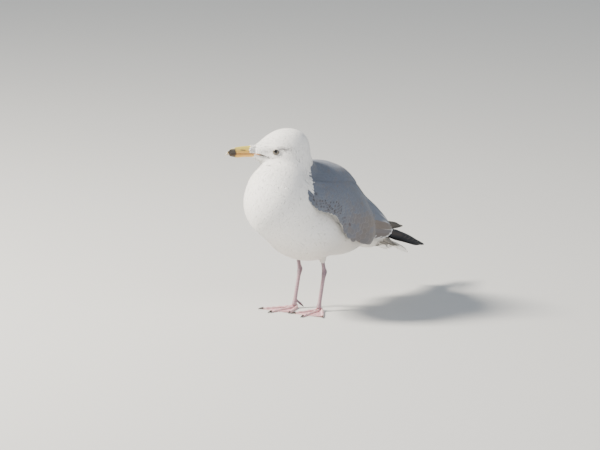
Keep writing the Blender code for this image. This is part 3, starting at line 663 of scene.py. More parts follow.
def coat_piece(name, roots, surface, chance, sizes, spread, slot, material, tips=0.0, **shape):
    """Lays one coat piece's feathers and paints each from its root's place, with a paler or darker tip."""
    _, normal = surface(roots)
    lie = turned(lie_of(roots, normal), normal, chance, spread)
    points, s, t = lay_vanes(roots, normal, lie, sizes, surface, chance, **shape)
    base = plumage(roots, chance.random(len(roots)), float(slot == "plumage_grey"))
    base = base * (0.975 + 0.03 * chance.random((len(roots), 1)))
    fringe = tips * smooth(np.maximum(s, 0) + 0.12 * t ** 2, 0.80, 1.0)[..., None]
    colours = base[:, None, None, :] * (1 - fringe) + rgb("E4E3DF") * fringe
    return add_vanes(name, points, unwrap(roots), colours, s, t, material)


white_feather = plumage_material("white_contour_feather", 0.68, 0.25, 0.05)
grey_feather = plumage_material("grey_covert_feather", 0.60, 0.15, 0.12, shaft=0.16)

# the head: tiny feathers at the bill and round the eyes, longer over crown and nape
chance = np.random.default_rng(21)
throat_forms = {"neck": BODY_FORMS["neck"], "crop": BODY_FORMS["crop"]}
net, _ = grown(head_ellipsoids() + ellipsoids(throat_forms), HEAD_NET)
net = settle(net + chance.normal(size=net.shape) * HEAD_NET * 0.25, -0.001, body_surface, steps=5)
local = in_head(net)
from_eye = np.minimum.reduce([np.linalg.norm(net - place, axis=1) for place in EYES])
short = np.maximum(face_share(net), 0.92 * (1 - smooth(from_eye, 0.008, 0.017)))
size = HEAD_LENGTH - FACE_SHORTER * short
_, normal = body_surface(net)
lie = lie_of(net, normal)
over_eye = np.zeros(len(net), bool)
for place in EYES:
    _, outward = body_surface(place[None])
    opening = place + outward[0] * EYE_RADIUS * math.cos(math.radians(38))
    for part in (0.0, 0.5, 1.0):
        over_eye |= np.linalg.norm(net + lie * (size * part)[:, None] - opening, axis=1) < EYE_CLEAR
front = 0.0500 - GAPE_NOTCH * np.exp(-((local[:, 2] + 0.0070) / 0.0014) ** 2)
keep = (head_share(net) > chance.random(len(net))) & (local[:, 0] < front) & ~over_eye
net, short, size = net[keep], short[keep], size[keep]
rim = 0.0004 * (1 - smooth(from_eye[keep], 0.0065, 0.0100))
coat_piece("coat_head", net, body_surface, chance, (
    size, size * 0.70, coat_depth(net) + 0.0002, 0.00012 - 0.00005 * short + rim, 0.0001), 4, "plumage_white",
    white_feather, rows=3, columns=4, fray=0.10)

# neck, breast, belly, flanks and undertail
chance = np.random.default_rng(22)
net, _ = grown(ellipsoids(BODY_FORMS), BODY_NET)
net = settle(net + chance.normal(size=net.shape) * BODY_NET * 0.28, -0.002, whole_form, steps=5)
share, angle = along_spine(net)
past = share - through(GREY_FRONT, np.abs(angle))
ahead = past > 0.022
under = np.abs(angle) - through(WING_LOW_EDGE, share)
beneath = under > -8 + 5 * smooth(share, 0.50, 0.60)
ledge = smooth(under, -9, -6) * (1 - smooth(under, -1, 2)) * (share < 0.80)
seen = (ahead | beneath | (share < 0.0)) & (head_share(net) <= chance.random(len(net)) * 0.9) & (share > -0.14)
for title, part in (
        ("coat_neck", share >= 0.82), ("coat_breast", (share >= 0.60) & (share < 0.82)),
        ("coat_belly", (share >= 0.26) & (share < 0.60)), ("coat_vent", share < 0.26)):
    here = seen & part
    roots = net[here]
    size = BODY_LENGTH + 0.0060 * smooth(-share[here], -0.85, -0.45) + 0.006 * smooth(-share[here], -0.25, 0.0)
    over = 0.0004 * (1 - smooth(past[here], 0.030, 0.090)) * (np.abs(angle[here]) < 116) * ahead[here]
    coat_piece(title, roots, whole_form, chance, (
        size, size * (0.72 - 0.20 * ledge[here]), coat_depth(roots) + 0.0002, 0.00015 + over, 0.00012), 3,
        "plumage_white", white_feather, rows=4, columns=6, fray=0.07)

# the grey of the back
chance = np.random.default_rng(23)
net, _ = grown(ellipsoids(BODY_FORMS), BACK_NET)
net = settle(net + chance.normal(size=net.shape) * BACK_NET * 0.20, -0.002, whole_form, steps=5)
share, angle = along_spine(net)
back = (share < through(GREY_FRONT, np.abs(angle)) + 0.036) & (share > 0.16)
back &= np.abs(angle) < through(WING_TOP_EDGE, share) + 30
size = BACK_LENGTH + 0.012 * smooth(-share[back], -0.85, -0.55)
coat_piece("coat_back", net[back], whole_form, chance, (
    size, size * 0.58, 0.0026, 0.0005, 0.0004), 4, "plumage_grey", grey_feather,
    tips=0.16, rows=5, columns=8, fray=0.08)


# ---------------------------------------------------------------- wing coverts and scapulars
# Rows of grey feathers over each folded wing: scapulars from the back, then lesser, median and greater
# coverts, each row over the next, growing longer from the bend. The young bird's are brown-washed and flecked.
EDGE_HEX, BROWN_HEX, FLECK_HEX = "B3B0AE", "766B62", "3E332C"
# tract: spine share of the first and last row, gap between rows, place down the wing from and to, gap across,
# length as a share of the spine, width, height over the wing's form
TRACTS = {
    "greater": ((0.455, 0.27), 0.034, (0.30, 0.98), 0.0085, 0.098, 0.0150, 0.0010),
    "median": ((0.545, 0.43), 0.021, (0.06, 1.03), 0.0075, 0.062, 0.0130, 0.0013),
    "lesser": ((0.955, 0.53), 0.0125, (0.02, 1.03), 0.0054, 0.040, 0.0094, 0.0015),
    "scapulars": ((0.985, 0.44), 0.019, (None, 0.20), 0.0088, 0.085, 0.0160, 0.0024),
}
WING_SHARES, WING_ANGLES = np.linspace(-0.16, 0.98, 153), np.linspace(-45, 132, 119)


def wing_reaches(side):
    """How far the wings' form stands from the spine, for every share and angle of the table, by halving."""
    share, angle = np.meshgrid(WING_SHARES, np.radians(WING_ANGLES) * side, indexing="ij")
    origin, _, up = spine_frame(share)
    way = np.cos(angle)[..., None] * up + np.sin(angle)[..., None] * np.array((1.0, 0.0, 0.0))
    near, far = np.zeros(share.shape), np.full(share.shape, 0.13)
    for _ in range(20):
        middle = (near + far) / 2
        inside = form(origin + way * middle[..., None], WINGED)[0] < 0
        near, far = np.where(inside, middle, near), np.where(inside, far, middle)
    return (near + far) / 2


def wing_angle(share, place):
    """Degrees down from the back's middle at a place between the wing's top edge (0) and low edge (1)."""
    top, low = through(WING_TOP_EDGE, share), through(WING_LOW_EDGE, share)
    return top + (low - top) * place


def reach_at(table, share, angle):
    """The table's reach between its entries, by straight lines both ways."""
    i = np.clip((share - WING_SHARES[0]) / (WING_SHARES[1] - WING_SHARES[0]), 0, len(WING_SHARES) - 1.001)
    j = np.clip((angle - WING_ANGLES[0]) / (WING_ANGLES[1] - WING_ANGLES[0]), 0, len(WING_ANGLES) - 1.001)
    a, b = i.astype(int), j.astype(int)
    i, j = i - a, j - b
    upper = table[a, b] * (1 - j) + table[a, b + 1] * j
    lower = table[a + 1, b] * (1 - j) + table[a + 1, b + 1] * j
    return upper * (1 - i) + lower * i


def on_wing(table, side, share, place, height):
    """Points over the wing: a share of the spine, a place from its top edge (0) to its low one (1), a height."""
    angle = wing_angle(share, place)
    origin, _, up = spine_frame(share)
    turn = np.radians(angle) * side
    way = np.cos(turn)[..., None] * up + np.sin(turn)[..., None] * np.array((1.0, 0.0, 0.0))
    edge = 0.0012 * smooth(place, 0.82, 1.0) * smooth(0.80 - share, 0.0, 0.08)
    return origin + way * (reach_at(table, share, angle) + height + edge)[..., None]


def wing_vanes(
        table, side, feathers, lift, rise, chance, rows=8, columns=8, rounding=0.16, fray=0.05, dive=0.16):
    """Vanes laid on the wing from (share, place) to (share, place), width last; heights lift + rise (s - 1/2).

    Each vane dives under the others at its root, is full from a third of its length, and its lower edge lies a
    little over the next vane's upper one.
    """
    first, from_place, last, to_place, width, order = (value[:, None, None] for value in feathers)
    s, t, reach = vane_grid(rows, columns, len(first), chance, rounding, fray)
    share = first + (last - first) * reach
    place = from_place + (to_place - from_place) * s
    top, low = through(WING_TOP_EDGE, share), through(WING_LOW_EDGE, share)
    span = np.radians(low - top) * reach_at(table, share, top + (low - top) * np.clip(place, 0, 1))
    outline = (0.55 + 0.45 * smooth(s, 0.0, 0.33)) * (1 - 0.28 * smooth(s, 0.75, 1.0))
    place = place + width / 2 * outline * t / span
    height = lift + order + rise * (s - 0.5) - 0.0018 * (1 - smooth(s, 0.0, dive))
    height = height - 0.0003 * t ** 2 + 0.00014 * t
    height = height + 0.00008 * chance.normal(size=first.shape)
    return on_wing(table, side, share, place, height), s, t


def tract_feathers(table, tract, chance):
    """Every feather of a tract in staggered rows: its root and tip on the wing, width and lift."""
    (first, last), gap, (top_place, low_place), gap_across, length, width, _ = tract
    found = []
    for row in range(int((first - last) / gap) + 1):
        share = first - row * gap
        if tract == TRACTS["scapulars"]:
            edge, low = through(WING_TOP_EDGE, share), through(WING_LOW_EDGE, share)
            top_place = -(edge + 10) / (low - edge)
        angles = wing_angle(np.full(2, share), np.array((top_place, low_place)))
        mid_reach = float(reach_at(table, np.array(share - length / 2), np.array(70.0)))
        arc = math.radians(angles[1] - angles[0]) * mid_reach
        count = max(int(arc / gap_across), 2)
        place = top_place + (low_place - top_place) * (np.arange(count) + 0.5 * (row % 2)) / (count - 0.5)
        place = place + chance.normal(size=count) * 0.10 * (low_place - top_place) / count
        start = share + chance.normal(size=count) * 0.10 * gap
        size = length * (0.74 + 0.26 * smooth(-share, -first, -last)) * (1 + 0.05 * chance.normal(size=count))
        broad = width * (0.80 + 0.20 * smooth(-share, -first, -last)) * (1 + 0.05 * chance.normal(size=count))
        to_place = place + 0.010 + 0.004 * chance.normal(size=count)
        found.append(np.stack([start, place, start - size, to_place, broad, 0 * place]))
    return np.concatenate(found, axis=1)


def wing_base(share, place, chance):
    """A covert's own grey: browner low down and to the rear, no two quite alike."""
    count = len(share)
    grey, brown = rgb(GREY_HEX), rgb(BROWN_HEX)
    wash = 0.80 * smooth(place, 0.36, 0.80) * smooth(-share, -0.66, -0.25)
    wash = 0.04 + wash + 0.14 * chance.normal(size=count)
    return (grey + (brown - grey) * np.clip(wash, 0, 1)[:, None]) * (0.95 + 0.08 * chance.random((count, 1)))


def covert_paint(base, s, t, share, place, chance):
    """Per-vertex paint: a paler fringe round each tip, and dark brown centres on some near the bend."""
    count = len(base)
    edge, fleck = rgb(EDGE_HEX), rgb(FLECK_HEX)
    low = smooth(place, 0.35, 0.75)[:, None, None]
    fringe = smooth(np.maximum(s, 0.72 + 0.22 * np.abs(t)), 0.88, 1.0)
    fringe = fringe * (0.08 + 0.26 * low * chance.random((count, 1, 1)))
    likely = 0.72 * smooth(place, 0.74, 0.90) * smooth(share, 0.60, 0.70) + 0.12 * smooth(place, 0.90, 1.0)
    marked = (chance.random(count) < likely)[:, None, None] * (0.30 + 0.65 * chance.random((count, 1, 1)))
    begin, broad = 0.30 + 0.35 * chance.random((count, 1, 1)), 0.55 + 0.45 * chance.random((count, 1, 1))
    centre = marked * smooth(s - begin, 0.0, 0.2) * (1 - smooth(s, 0.86, 0.97))
    centre = centre * (1 - smooth(np.abs(t), 0.4 * broad, broad))
    colours = base[:, None, None, :] * (1 - fringe[..., None]) + edge * fringe[..., None]
    return colours * (1 - centre[..., None]) + fleck * centre[..., None]


WING_TABLES = {1: wing_reaches(1), -1: wing_reaches(-1)}
for side, label in ((1, "left"), (-1, "right")):
    chance = np.random.default_rng(31 + side)
    for title, tract in TRACTS.items():
        feathers = tract_feathers(WING_TABLES[side], tract, chance)
        ahead = feathers[0] > through(GREY_FRONT, np.abs(wing_angle(feathers[0], feathers[1]))) + 0.036
        feathers = feathers[:, ~ahead]
        rise = 0.00026 * tract[4] / tract[1]
        behind = through(GREY_FRONT, np.abs(wing_angle(feathers[0], feathers[1]))) - feathers[0]
        feathers[5] = -(tract[6] + 0.0002) * (1 - smooth(behind, -0.04, 0.05))
        if title == "scapulars":
            feathers[5] -= 0.0011 * (1 - smooth(feathers[1], -0.20, 0.12)) * smooth(behind, 0.0, 0.05)
        points, s, t = wing_vanes(WING_TABLES[side], side, feathers, tract[6], rise, chance)
        base = wing_base(feathers[0], feathers[1], chance)
        colours = covert_paint(base, s, t, feathers[0], feathers[1], chance)
        roots = points[:, 0, points.shape[2] // 2]
        name = "coat_" + title + "_" + label
        add_vanes(name, points, unwrap(roots), colours, s, t, grey_feather)


# ---------------------------------------------------------------- tertials and secondaries
# The long feathers at the wing's rear: tertials cover the folded wing's end, each with a broad white tip, and
# the secondaries show below them as a pale-edged, brown-washed skirt.
# feather: spine share and place at the root, the same at the tip, width, height of its layer
TERTIALS = (
    (0.30, 0.62, -0.028, 0.72, 0.026, 0.0002), (0.32, 0.50, -0.030, 0.60, 0.027, 0.0006),
    (0.36, 0.38, -0.024, 0.47, 0.028, 0.0010), (0.40, 0.26, -0.010, 0.33, 0.028, 0.0014),
    (0.44, 0.14, 0.012, 0.18, 0.027, 0.0018), (0.47, 0.02, 0.040, 0.05, 0.026, 0.0022),
    (0.49, -0.12, 0.085, -0.08, 0.026, 0.0026))
SECONDARIES = (
    (0.44, 0.97, 0.245, 1.01, 0.013, 0.0), (0.42, 0.97, 0.205, 1.01, 0.013, 0.0001),
    (0.40, 0.96, 0.165, 1.00, 0.013, 0.0002), (0.38, 0.96, 0.125, 1.04, 0.015, 0.0003),
    (0.35, 0.95, 0.085, 1.03, 0.015, 0.0004), (0.32, 0.93, 0.050, 1.02, 0.015, 0.0005),
    (0.30, 0.88, 0.028, 0.98, 0.016, 0.0006), (0.29, 0.82, 0.008, 0.91, 0.017, 0.0007),
    (0.28, 0.73, -0.016, 0.80, 0.017, 0.0008))
TIP_HEX = "F3F3F2"

for side, label in ((1, "left"), (-1, "right")):
    chance = np.random.default_rng(41 + side)
    for title, listed, lift, white, replaced in (
            ("secondaries", SECONDARIES, 0.0002, 0.012, ()),
            ("tertials", TERTIALS, 0.0006, 0.095, ("wing_" + label + "_tertials",))):
        feathers = np.array(listed).T
        points, s, t = wing_vanes(
            WING_TABLES[side], side, feathers, lift, 0.0008, chance,
            rows=26, columns=12, rounding=0.05, fray=0.008,
            dive=0.45)
        wash_share = 1.0 if title == "secondaries" else 0.5
        base = wing_base(np.full(len(listed), 0.3), feathers[3] * wash_share, chance)
        base = base * (1.0 if title == "secondaries" else 1.14)
        tip = smooth(s + 0.08 * t ** 2, 1 - white - 0.015, 1 - white + 0.02)[..., None]
        rim = 0.90 if title == "secondaries" else 0.62
        edge = (0.85 * smooth(np.abs(t), rim, rim + 0.16) * smooth(s, 0.55, 0.88))[..., None]
        colours = base[:, None, None, :] * (1 - edge) + rgb(TIP_HEX) * edge
        colours = colours * (1 - tip) + rgb(TIP_HEX) * tip
        roots = points[:, 0, points.shape[2] // 2]
        name = "coat_" + title + "_" + label
        add_vanes(name, points, unwrap(roots), colours, s, t, grey_feather, replaced)


# ---------------------------------------------------------------- primaries
# The black wing-tip quills, six to a wing, stacked with the longest lowest. Each is a stiff narrow vane with
# a round point, browned down its middle as a painted reflection of light, and pale at the very tip.
PRIMARY_ROOTS = {"left": (0.0215, 0.189, 0.1090), "right": (-0.0225, 0.190, 0.1140)}
PRIMARY_TIPS = {"left": (0.019, 0.317, 0.070), "right": (-0.020, 0.306, 0.0985)}
PRIMARY_WIDTH, PRIMARY_LEAN = 0.0225, 1.05
PRIMARY_REACH = (1.00, 0.93, 0.84, 0.74, 0.64, 0.54)      # each quill's tip, as a share of the longest
BLACK_HEX, UMBER_SHEEN_HEX, PALE_TIP_HEX = "141214", "554940", "8D867E"

quill = plumage_material("black_flight_quill", 0.50, 0.0, 0.25, shaft=0.3)
for side, label in ((1, "left"), (-1, "right")):
    chance = np.random.default_rng(51 + side)
    root, tip = np.array(PRIMARY_ROOTS[label]), np.array(PRIMARY_TIPS[label])
    axis = unit(tip - root)
    up = np.array((side * PRIMARY_LEAN, 0.0, 1.0))
    up = unit(up - axis * (up @ axis))
    across = np.cross(up, axis)
    reach = np.array(PRIMARY_REACH)[:, None, None]
    count = len(PRIMARY_REACH)
    s, t, run = vane_grid(26, 8, count, chance, 0.10, 0.004)
    outline = (0.62 + 0.38 * smooth(s, 0, 0.30)) * np.sqrt(1 - smooth(s, 0.66, 1.0) ** 1.8 * 0.84)
    order = np.arange(count)[:, None, None]
    along = run * reach * np.linalg.norm(tip - root)
    height = -0.0016 + 0.00065 * order + 0.002 * np.sin(np.pi * np.clip(run * reach, 0, 1)) - 0.0008 * t ** 2
    sideways = PRIMARY_WIDTH / 2 * (1 - 0.03 * order) * outline * t + side * 0.0006 * order * s
    points = root + along[..., None] * axis + sideways[..., None] * across + height[..., None] * up
    black, umber_sheen, pale = (rgb(code) for code in (BLACK_HEX, UMBER_SHEEN_HEX, PALE_TIP_HEX))
    # painted reflection: a brown band down each quill's middle stands in for light reflected off it
    web = smooth(0.62 - np.abs(t + side * 0.1), 0.0, 0.45) * smooth(s, 0.10, 0.35) * (1 - smooth(s, 0.70, 0.92))
    web = (web * 0.60)[..., None]
    end = (smooth(s + 0.03 * t ** 2, 0.975, 1.0) * 0.6)[..., None]
    colours = black * (1 - web) + umber_sheen * web
    colours = colours * (1 - end) + pale * end
    patch_apart = np.stack([np.arange(count) * 0.004, np.zeros(count)], -1)
    patch = unwrap(np.repeat(root[None], count, axis=0)) + patch_apart
    add_vanes("coat_primaries_" + label, points, patch, colours, s, t, quill, (
        "wing_" + label + "_primaries",))


# ---------------------------------------------------------------- tail
# Twelve white tail feathers, closed so that the middle pair lies on top and the outer ones show as steps.
TAIL_ROOT, TAIL_TIP = np.array((0.0, 0.160, 0.1150)), np.array((0.0, 0.267, 0.0675))
TAIL_ROOT_HALF, TAIL_TIP_HALF, TAIL_FEATHER_WIDTH, TAIL_STEP, TAIL_ARCH = 0.010, 0.0215, 0.0235, 0.00022, 0.0100

chance = np.random.default_rng(61)
axis = unit(TAIL_TIP - TAIL_ROOT)
up = np.cross(np.array((1.0, 0.0, 0.0)), axis)
order = np.array([k - 5.5 for k in range(12)])[:, None, None]
out = order / 5.5
s, t, run = vane_grid(16, 8, 12, chance, 0.10, 0.010)
length = np.linalg.norm(TAIL_TIP - TAIL_ROOT) * (1 - 0.03 * np.abs(out) ** 2)
outline = (0.55 + 0.45 * smooth(s, 0, 0.5)) * (1 - 0.22 * smooth(s, 0.80, 1.0))
centre_x = out * (TAIL_ROOT_HALF + (TAIL_TIP_HALF - TAIL_ROOT_HALF) * run)
sideways = centre_x + TAIL_FEATHER_WIDTH / 2 * outline * t
height = 0.0008 - TAIL_STEP * (np.abs(order) - 0.5) - 0.0007 * t ** 2
height = height + (0.0034 - TAIL_ARCH * np.abs(centre_x / TAIL_TIP_HALF) ** 1.6) * run
points = TAIL_ROOT + (length * run)[..., None] * axis + sideways[..., None] * np.array((1.0, 0, 0))
points = points + height[..., None] * up
white, shadow = rgb(WHITE_HEX), rgb("9C9894")
fleck = (smooth(s, 0.80, 0.90) * (1 - smooth(s, 0.93, 1.0)) * 0.35 * chance.random((12, 1, 1)) ** 2)[..., None]
colours = white * (1 - fleck) + shadow * fleck
tail_patch = np.stack([0.90 + 0.006 * np.arange(12), np.full(12, 0.01)], -1)
white_quill = plumage_material("white_tail_quill", 0.55, 0.15, 0.06)
add_vanes("coat_tail_feathers", points, tail_patch, colours, s, t, white_quill, ("tail",))


# tail coverts, in rows over and under the tail's root: soft, white and long, the lower ones warmed by the
# painted shade beneath
# underside or not, root and tip along the bird, count, half-spread at the tip, gap from the tail
COVERT_ROWS = (
    (True, 0.172, 0.214, 13, 0.020, 0.0042), (True, 0.184, 0.230, 12, 0.021, 0.0030),
    (True, 0.196, 0.243, 11, 0.021, 0.0018),
    (False, 0.165, 0.204, 11, 0.017, 0.0030), (False, 0.178, 0.220, 11, 0.019, 0.0018))
chance = np.random.default_rng(62)
laid = []
for under, start, end, count, spread, gap in reversed(COVERT_ROWS):
    across = np.linspace(-1, 1, count) + chance.normal(size=count) * 0.03
    sign = -1 if under else 1
    run_tail = (end - TAIL_ROOT[1]) / (TAIL_TIP[1] - TAIL_ROOT[1])
    tips = TAIL_ROOT + run_tail * (TAIL_TIP - TAIL_ROOT) + sign * (gap + 0.0005) * up
    tips = tips + across[:, None] * (spread, 0.0, 0.0) - np.abs(across[:, None]) ** 2 * (0.0, 0.006, 0.0020)
    guess = np.stack([across * 0.017, np.full(count, start), np.full(count, 0.105 + sign * 0.010)], axis=1)
    roots = settle(guess, -0.0014, body_surface, steps=8)
    s, t, run = vane_grid(10, 8, count, chance, 0.16, 0.05)
    line = roots[:, None, None, :] + (tips - roots)[:, None, None, :] * run[..., None]
    bulge = 0.0022 * np.sin(math.pi * np.clip(run, 0, 1))
    shape = (0.55 + 0.45 * smooth(s, 0, 0.4)) * (1 - 0.25 * smooth(s, 0.75, 1.0))
    line = line + (0.0075 * shape * t)[..., None] * np.array((1.0, 0, 0))
    laid.append(line + (sign * (bulge - 0.0006 * t ** 2))[..., None] * up)
points = np.concatenate(laid)
s, t = s[:1], t[:1]
patch = unwrap(points[:, 0, 4])
colours = plumage(points, 0.5)[:, :1, :1] * 0.98
add_vanes("coat_tail_coverts", points, patch, colours, s, t, white_feather)


# ---------------------------------------------------------------- bill
# Two horny sheaths over the jaw bones, yellow with a black band before the pale hooked tip. The upper has a
# nostril slit on each side and closes over the lower, whose angle swells beneath the band.
BILL_ROOT, BILL_DROP, BILL_LENGTH = 0.0500, 0.0065, 0.048
LOWER_BILL_SHARE, BILL_HALF_WIDTH = 0.87, 0.0072
UPPER_BILL_HEIGHT, LOWER_BILL_HEIGHT, HOOK_DROP = 0.0112, 0.0074, 0.0042
BASE_FEATHERS_TO = 0.0615                      # how far forward of the head's centre the feathers reach
BILL_INSET = 0.006                            # how far each sheath runs back under the feathers
NOSTRIL = (0.40, 0.0052, 0.0042, 0.0009)      # share along, height over the mouth, half-length, half-height
BILL_YELLOW, BILL_HIGHLIGHT_GREEN, BILL_TAN, BILL_BLACK, BILL_IVORY = "DDB33C", "CFC25C", "C27F3E", "1C1816", "D9D2C0"

horn, horn_shader = new_material(
    "keratin_bill_sheath", Roughness=0.34, Coat_Weight=0.25, Coat_Roughness=0.25, IOR=1.54)
horn_cloud = texture(horn, {"Scale": 420.0, "Detail": 4.0})
painted(horn, horn_shader, ranged(horn, horn_cloud, 0.86, 1.04))
grained(horn, horn_shader, 0.15, 0.0003, horn_cloud)


def tube_faces(rings, sides):
    """Four-sided faces of a closed tube of rings, in rows."""
    i, j = np.meshgrid(np.arange(rings - 1), np.arange(sides), indexing="ij")
    k = (j + 1) % sides
    return np.stack([i * sides + j, i * sides + k, (i + 1) * sides + k, (i + 1) * sides + j], -1).reshape(-1, 4)


def facing_out(points, faces):
    """The faces, wound so that the closed shape's volume is positive."""
    a, b, c = (points[faces[:, i]] for i in range(3))
    d = points[faces[:, 3]]
    volume = (np.cross(a, b) * c).sum() + (np.cross(a, c) * d).sum()
    return faces if volume > 0 else faces[:, ::-1]


def add_rings(name, rings, colours, material, replaced=()):
    """Adds one closed piece of rings of equal count, its ends drawn in to near points."""
    first, last = rings[:1].mean(axis=1, keepdims=True), rings[-1:].mean(axis=1, keepdims=True)
    rings = np.concatenate([first + (rings[:1] - first) * 0.02, rings, last + (rings[-1:] - last) * 0.02])
    points = rings.reshape(-1, 3)
    outward = facing_out(points - points.mean(axis=0), tube_faces(*rings.shape[:2]))
    mesh = mesh_from(name, points + ORIGIN, outward)
    if colours is not None:
        colours = np.concatenate([colours[:1], colours, colours[-1:]])
        paint(mesh, colours.reshape(-1, 3))
    return add_piece(name, mesh, material, replaced)


def bill_half(upper):
    """Rings along a sheath from under the feathers: a half oval over or under the mouth line, and its palate.

    Half-width is W (1 - s)^0.45 (1 - 0.42 waist); height falls as (1 - s^3.2)^0.5 above and as (1 - s)^0.22
    below with a swelling at the angle; the hook drops by H ((s - 0.78) / 0.22)^1.5.
    """
    length = BILL_LENGTH * (1 if upper else LOWER_BILL_SHARE)
    share = 1 - np.linspace(1 + BILL_INSET / length, 0, 90) ** 1.25
    clear = np.clip(share, 0, 1)
    waist = np.sin(np.pi * np.minimum(clear * 1.15, 1) / 2) ** 2
    half = np.maximum(BILL_HALF_WIDTH * (1 - clear) ** 0.45 * (1 - 0.42 * waist), 0.0005)
    if upper:
        height = UPPER_BILL_HEIGHT * np.sqrt(np.clip(1 - (clear * 0.985) ** 3.2, 0, 1))
        drop = -HOOK_DROP * (np.clip(share - 0.78, 0, 1) / 0.22) ** 1.5
        height = height * (1 - 0.25 * smooth(share, 0.80, 1.0)) + 0.0008 * smooth(share, 0.84, 0.97)
    else:
        height = LOWER_BILL_HEIGHT * (1 - clear) ** 0.22 * (1 + 0.18 * np.exp(-((clear - 0.66) / 0.16) ** 2))
        drop = -0.0006 * clear
    tuck = 1 - 0.22 * smooth(-share, 0.0, 0.10)
    sign = 1 if upper else -1
    arch, palate = np.linspace(0, math.pi, 33), np.linspace(0, 1, 12)[1:-1]
    across = np.concatenate([np.cos(arch), -1 + 2 * palate])
    rise = np.concatenate([np.sin(arch) ** 0.85, 0.14 * np.sin(math.pi * palate)])
    lift = np.maximum(height * tuck, 0.0006)[:, None] * rise
    side_swell = 1 + 0.05 * np.sin(math.pi * np.clip(rise, 0, 1))
    local = np.stack([
        (BILL_ROOT + share * length)[:, None] + 0 * across, (half * tuck)[:, None] * across * side_swell,
        -BILL_DROP + (drop + sign * 0.0002)[:, None] + sign * lift], axis=-1)
    return share, rise, lift, local


def bill_paint(share, height, upper):
    """Yellow horn, tan at the mouth, black before the ivory tip, with a painted highlight along the upper ridge:
    greenish, and ivory over the band.
    """
    yellow, highlight_green, tan, black, ivory = (rgb(code) for code in (
        BILL_YELLOW, BILL_HIGHLIGHT_GREEN, BILL_TAN, BILL_BLACK, BILL_IVORY))
    share = np.broadcast_to(share[:, None], height.shape)
    full = (UPPER_BILL_HEIGHT if upper else LOWER_BILL_HEIGHT) * 0.9
    # painted highlight: the upper bill's ridge is paled to greenish yellow as if lit from above
    ridge_highlight = (smooth(height / full, 0.45, 0.95) * (0.8 if upper else 0.0))[..., None]
    mouth = ((1 - smooth(height / full, 0.05, 0.55)) * 0.45 + (0.0 if upper else 0.35))[..., None]
    colours = yellow + (highlight_green - yellow) * ridge_highlight
    colours = colours + (tan - colours) * mouth
    from_tip = share if upper else share * LOWER_BILL_SHARE
    from_tip = from_tip + 0.018 * np.cos(height / full * 5.0)
    band = smooth(from_tip, 0.615, 0.665) * (1 - smooth(from_tip, 0.89, 0.94))
    # painted highlight: the black band is left off the upper bill's ridge
    band = band * (1 - (0.92 if upper else 0.0) * smooth(height / full, 0.66, 0.86))
    tip = smooth(from_tip, 0.90, 0.95)
    colours = colours + (black - colours) * (band * (0.97 if upper else 0.92))[..., None]
    if upper:
        # painted highlight: ivory along the upper ridge from the band to the tip
        pale_ridge_highlight = 0.85 * smooth(height / full, 0.66, 0.86) * smooth(from_tip, 0.64, 0.72)
        colours = colours + (ivory - colours) * pale_ridge_highlight[..., None]
    return colours + (ivory - colours) * tip[..., None]


for upper, title in ((True, "bill_upper"), (False, "bill_lower")):
    share, rise, height, local = bill_half(upper)
    colours = bill_paint(share, height, upper)
    if upper:
        at, over, long, tall = NOSTRIL
        along = (share[:, None] - at) * BILL_LENGTH
        slit = np.exp(-(along / long) ** 4 - ((height - over - 0.10 * along) / tall) ** 2)
        local[..., 1] -= np.sign(local[..., 1]) * 0.0010 * slit
        colours = colours * (1 - 0.93 * slit[..., None])
        # tiny feathers that run forward over the sheath's base, furthest at its middle height
        chance = np.random.default_rng(81)
        edge = BASE_FEATHERS_TO - 0.5 * np.abs(local[..., 2] + 0.0015) - 0.0015 * chance.random(height.shape)
        chosen = (local[..., 0] > 0.0445) & (local[..., 0] < edge) & (rise > 0.12)[None, :]
        chosen &= chance.random(height.shape) < 0.95
        chosen[:, 33:] = False
        place = local[chosen]
        place = place + chance.normal(size=place.shape) * 0.0002
        out = unit(place * (0.0, 1.0, 1.0) + np.array((0.0, 0.0, BILL_DROP + 0.001))) @ HEAD.T
        roots = HEAD_CENTRE + place @ HEAD.T
        back = unit(np.broadcast_to(-HEAD[:, 0], out.shape) - 0.05 * HEAD[:, 2])
        back = unit(back - out * (back * out).sum(axis=1, keepdims=True))
        s, t, run = vane_grid(3, 4, len(roots), chance, 0.30, 0.26)
        points = roots[:, None, None, :] + (0.0036 * run)[..., None] * back[:, None, None, :]
        across = 0.0010 * t * (0.5 + 0.5 * smooth(s, 0, 0.5))
        points = points + across[..., None] * np.cross(out, back)[:, None, None, :]
        points = points + (-0.0003 + 0.0008 * s - 0.0001 * t ** 2)[..., None] * out[:, None, None, :]
        base = plumage(roots, chance.random(len(roots)))[:, None, None, :]
        add_vanes("coat_bill_base", points, unwrap(roots), base, s, t, white_feather)
    rings = HEAD_CENTRE + local @ HEAD.T
    add_rings(title + "_sheath", rings, colours, horn, (title,))


# ---------------------------------------------------------------- corner of the mouth
# The soft fold that runs from the bill's root back below the eye on each side: tan at the horn, then dark.
GAPE_FRONT, GAPE_REAR = (0.0500, -0.0068), (0.0235, -0.0100)      # forward and up of the head's centre
GAPE_RADIUS, GAPE_TAN_HEX, GAPE_DARK_HEX = 0.0010, "C08A58", "3B3330"

fold_skin, fold_shader = new_material("bare_mouth_corner_skin", Roughness=0.5, Specular_IOR_Level=0.4)
painted(fold_skin, fold_shader)
grained(fold_skin, fold_shader, 0.4, 0.0002, texture(fold_skin, {"Scale": 1800.0, "Detail": 3.0}))


def rings_along(path, radius, deep, sides, front):
    """Rings square to a path, their first side towards the front; radius across and deep along the front."""
    tangent = unit(np.gradient(path, axis=0))
    ahead = unit(front - tangent * (tangent @ front)[:, None])
    beside = np.cross(tangent, ahead)
    angle = np.linspace(0, 2 * math.pi, sides, endpoint=False)
    offset = ahead[:, None, :] * np.cos(angle)[None, :, None] * deep[..., None]
    offset = offset + beside[:, None, :] * np.sin(angle)[None, :, None] * radius[..., None]
    return path[:, None, :] + offset


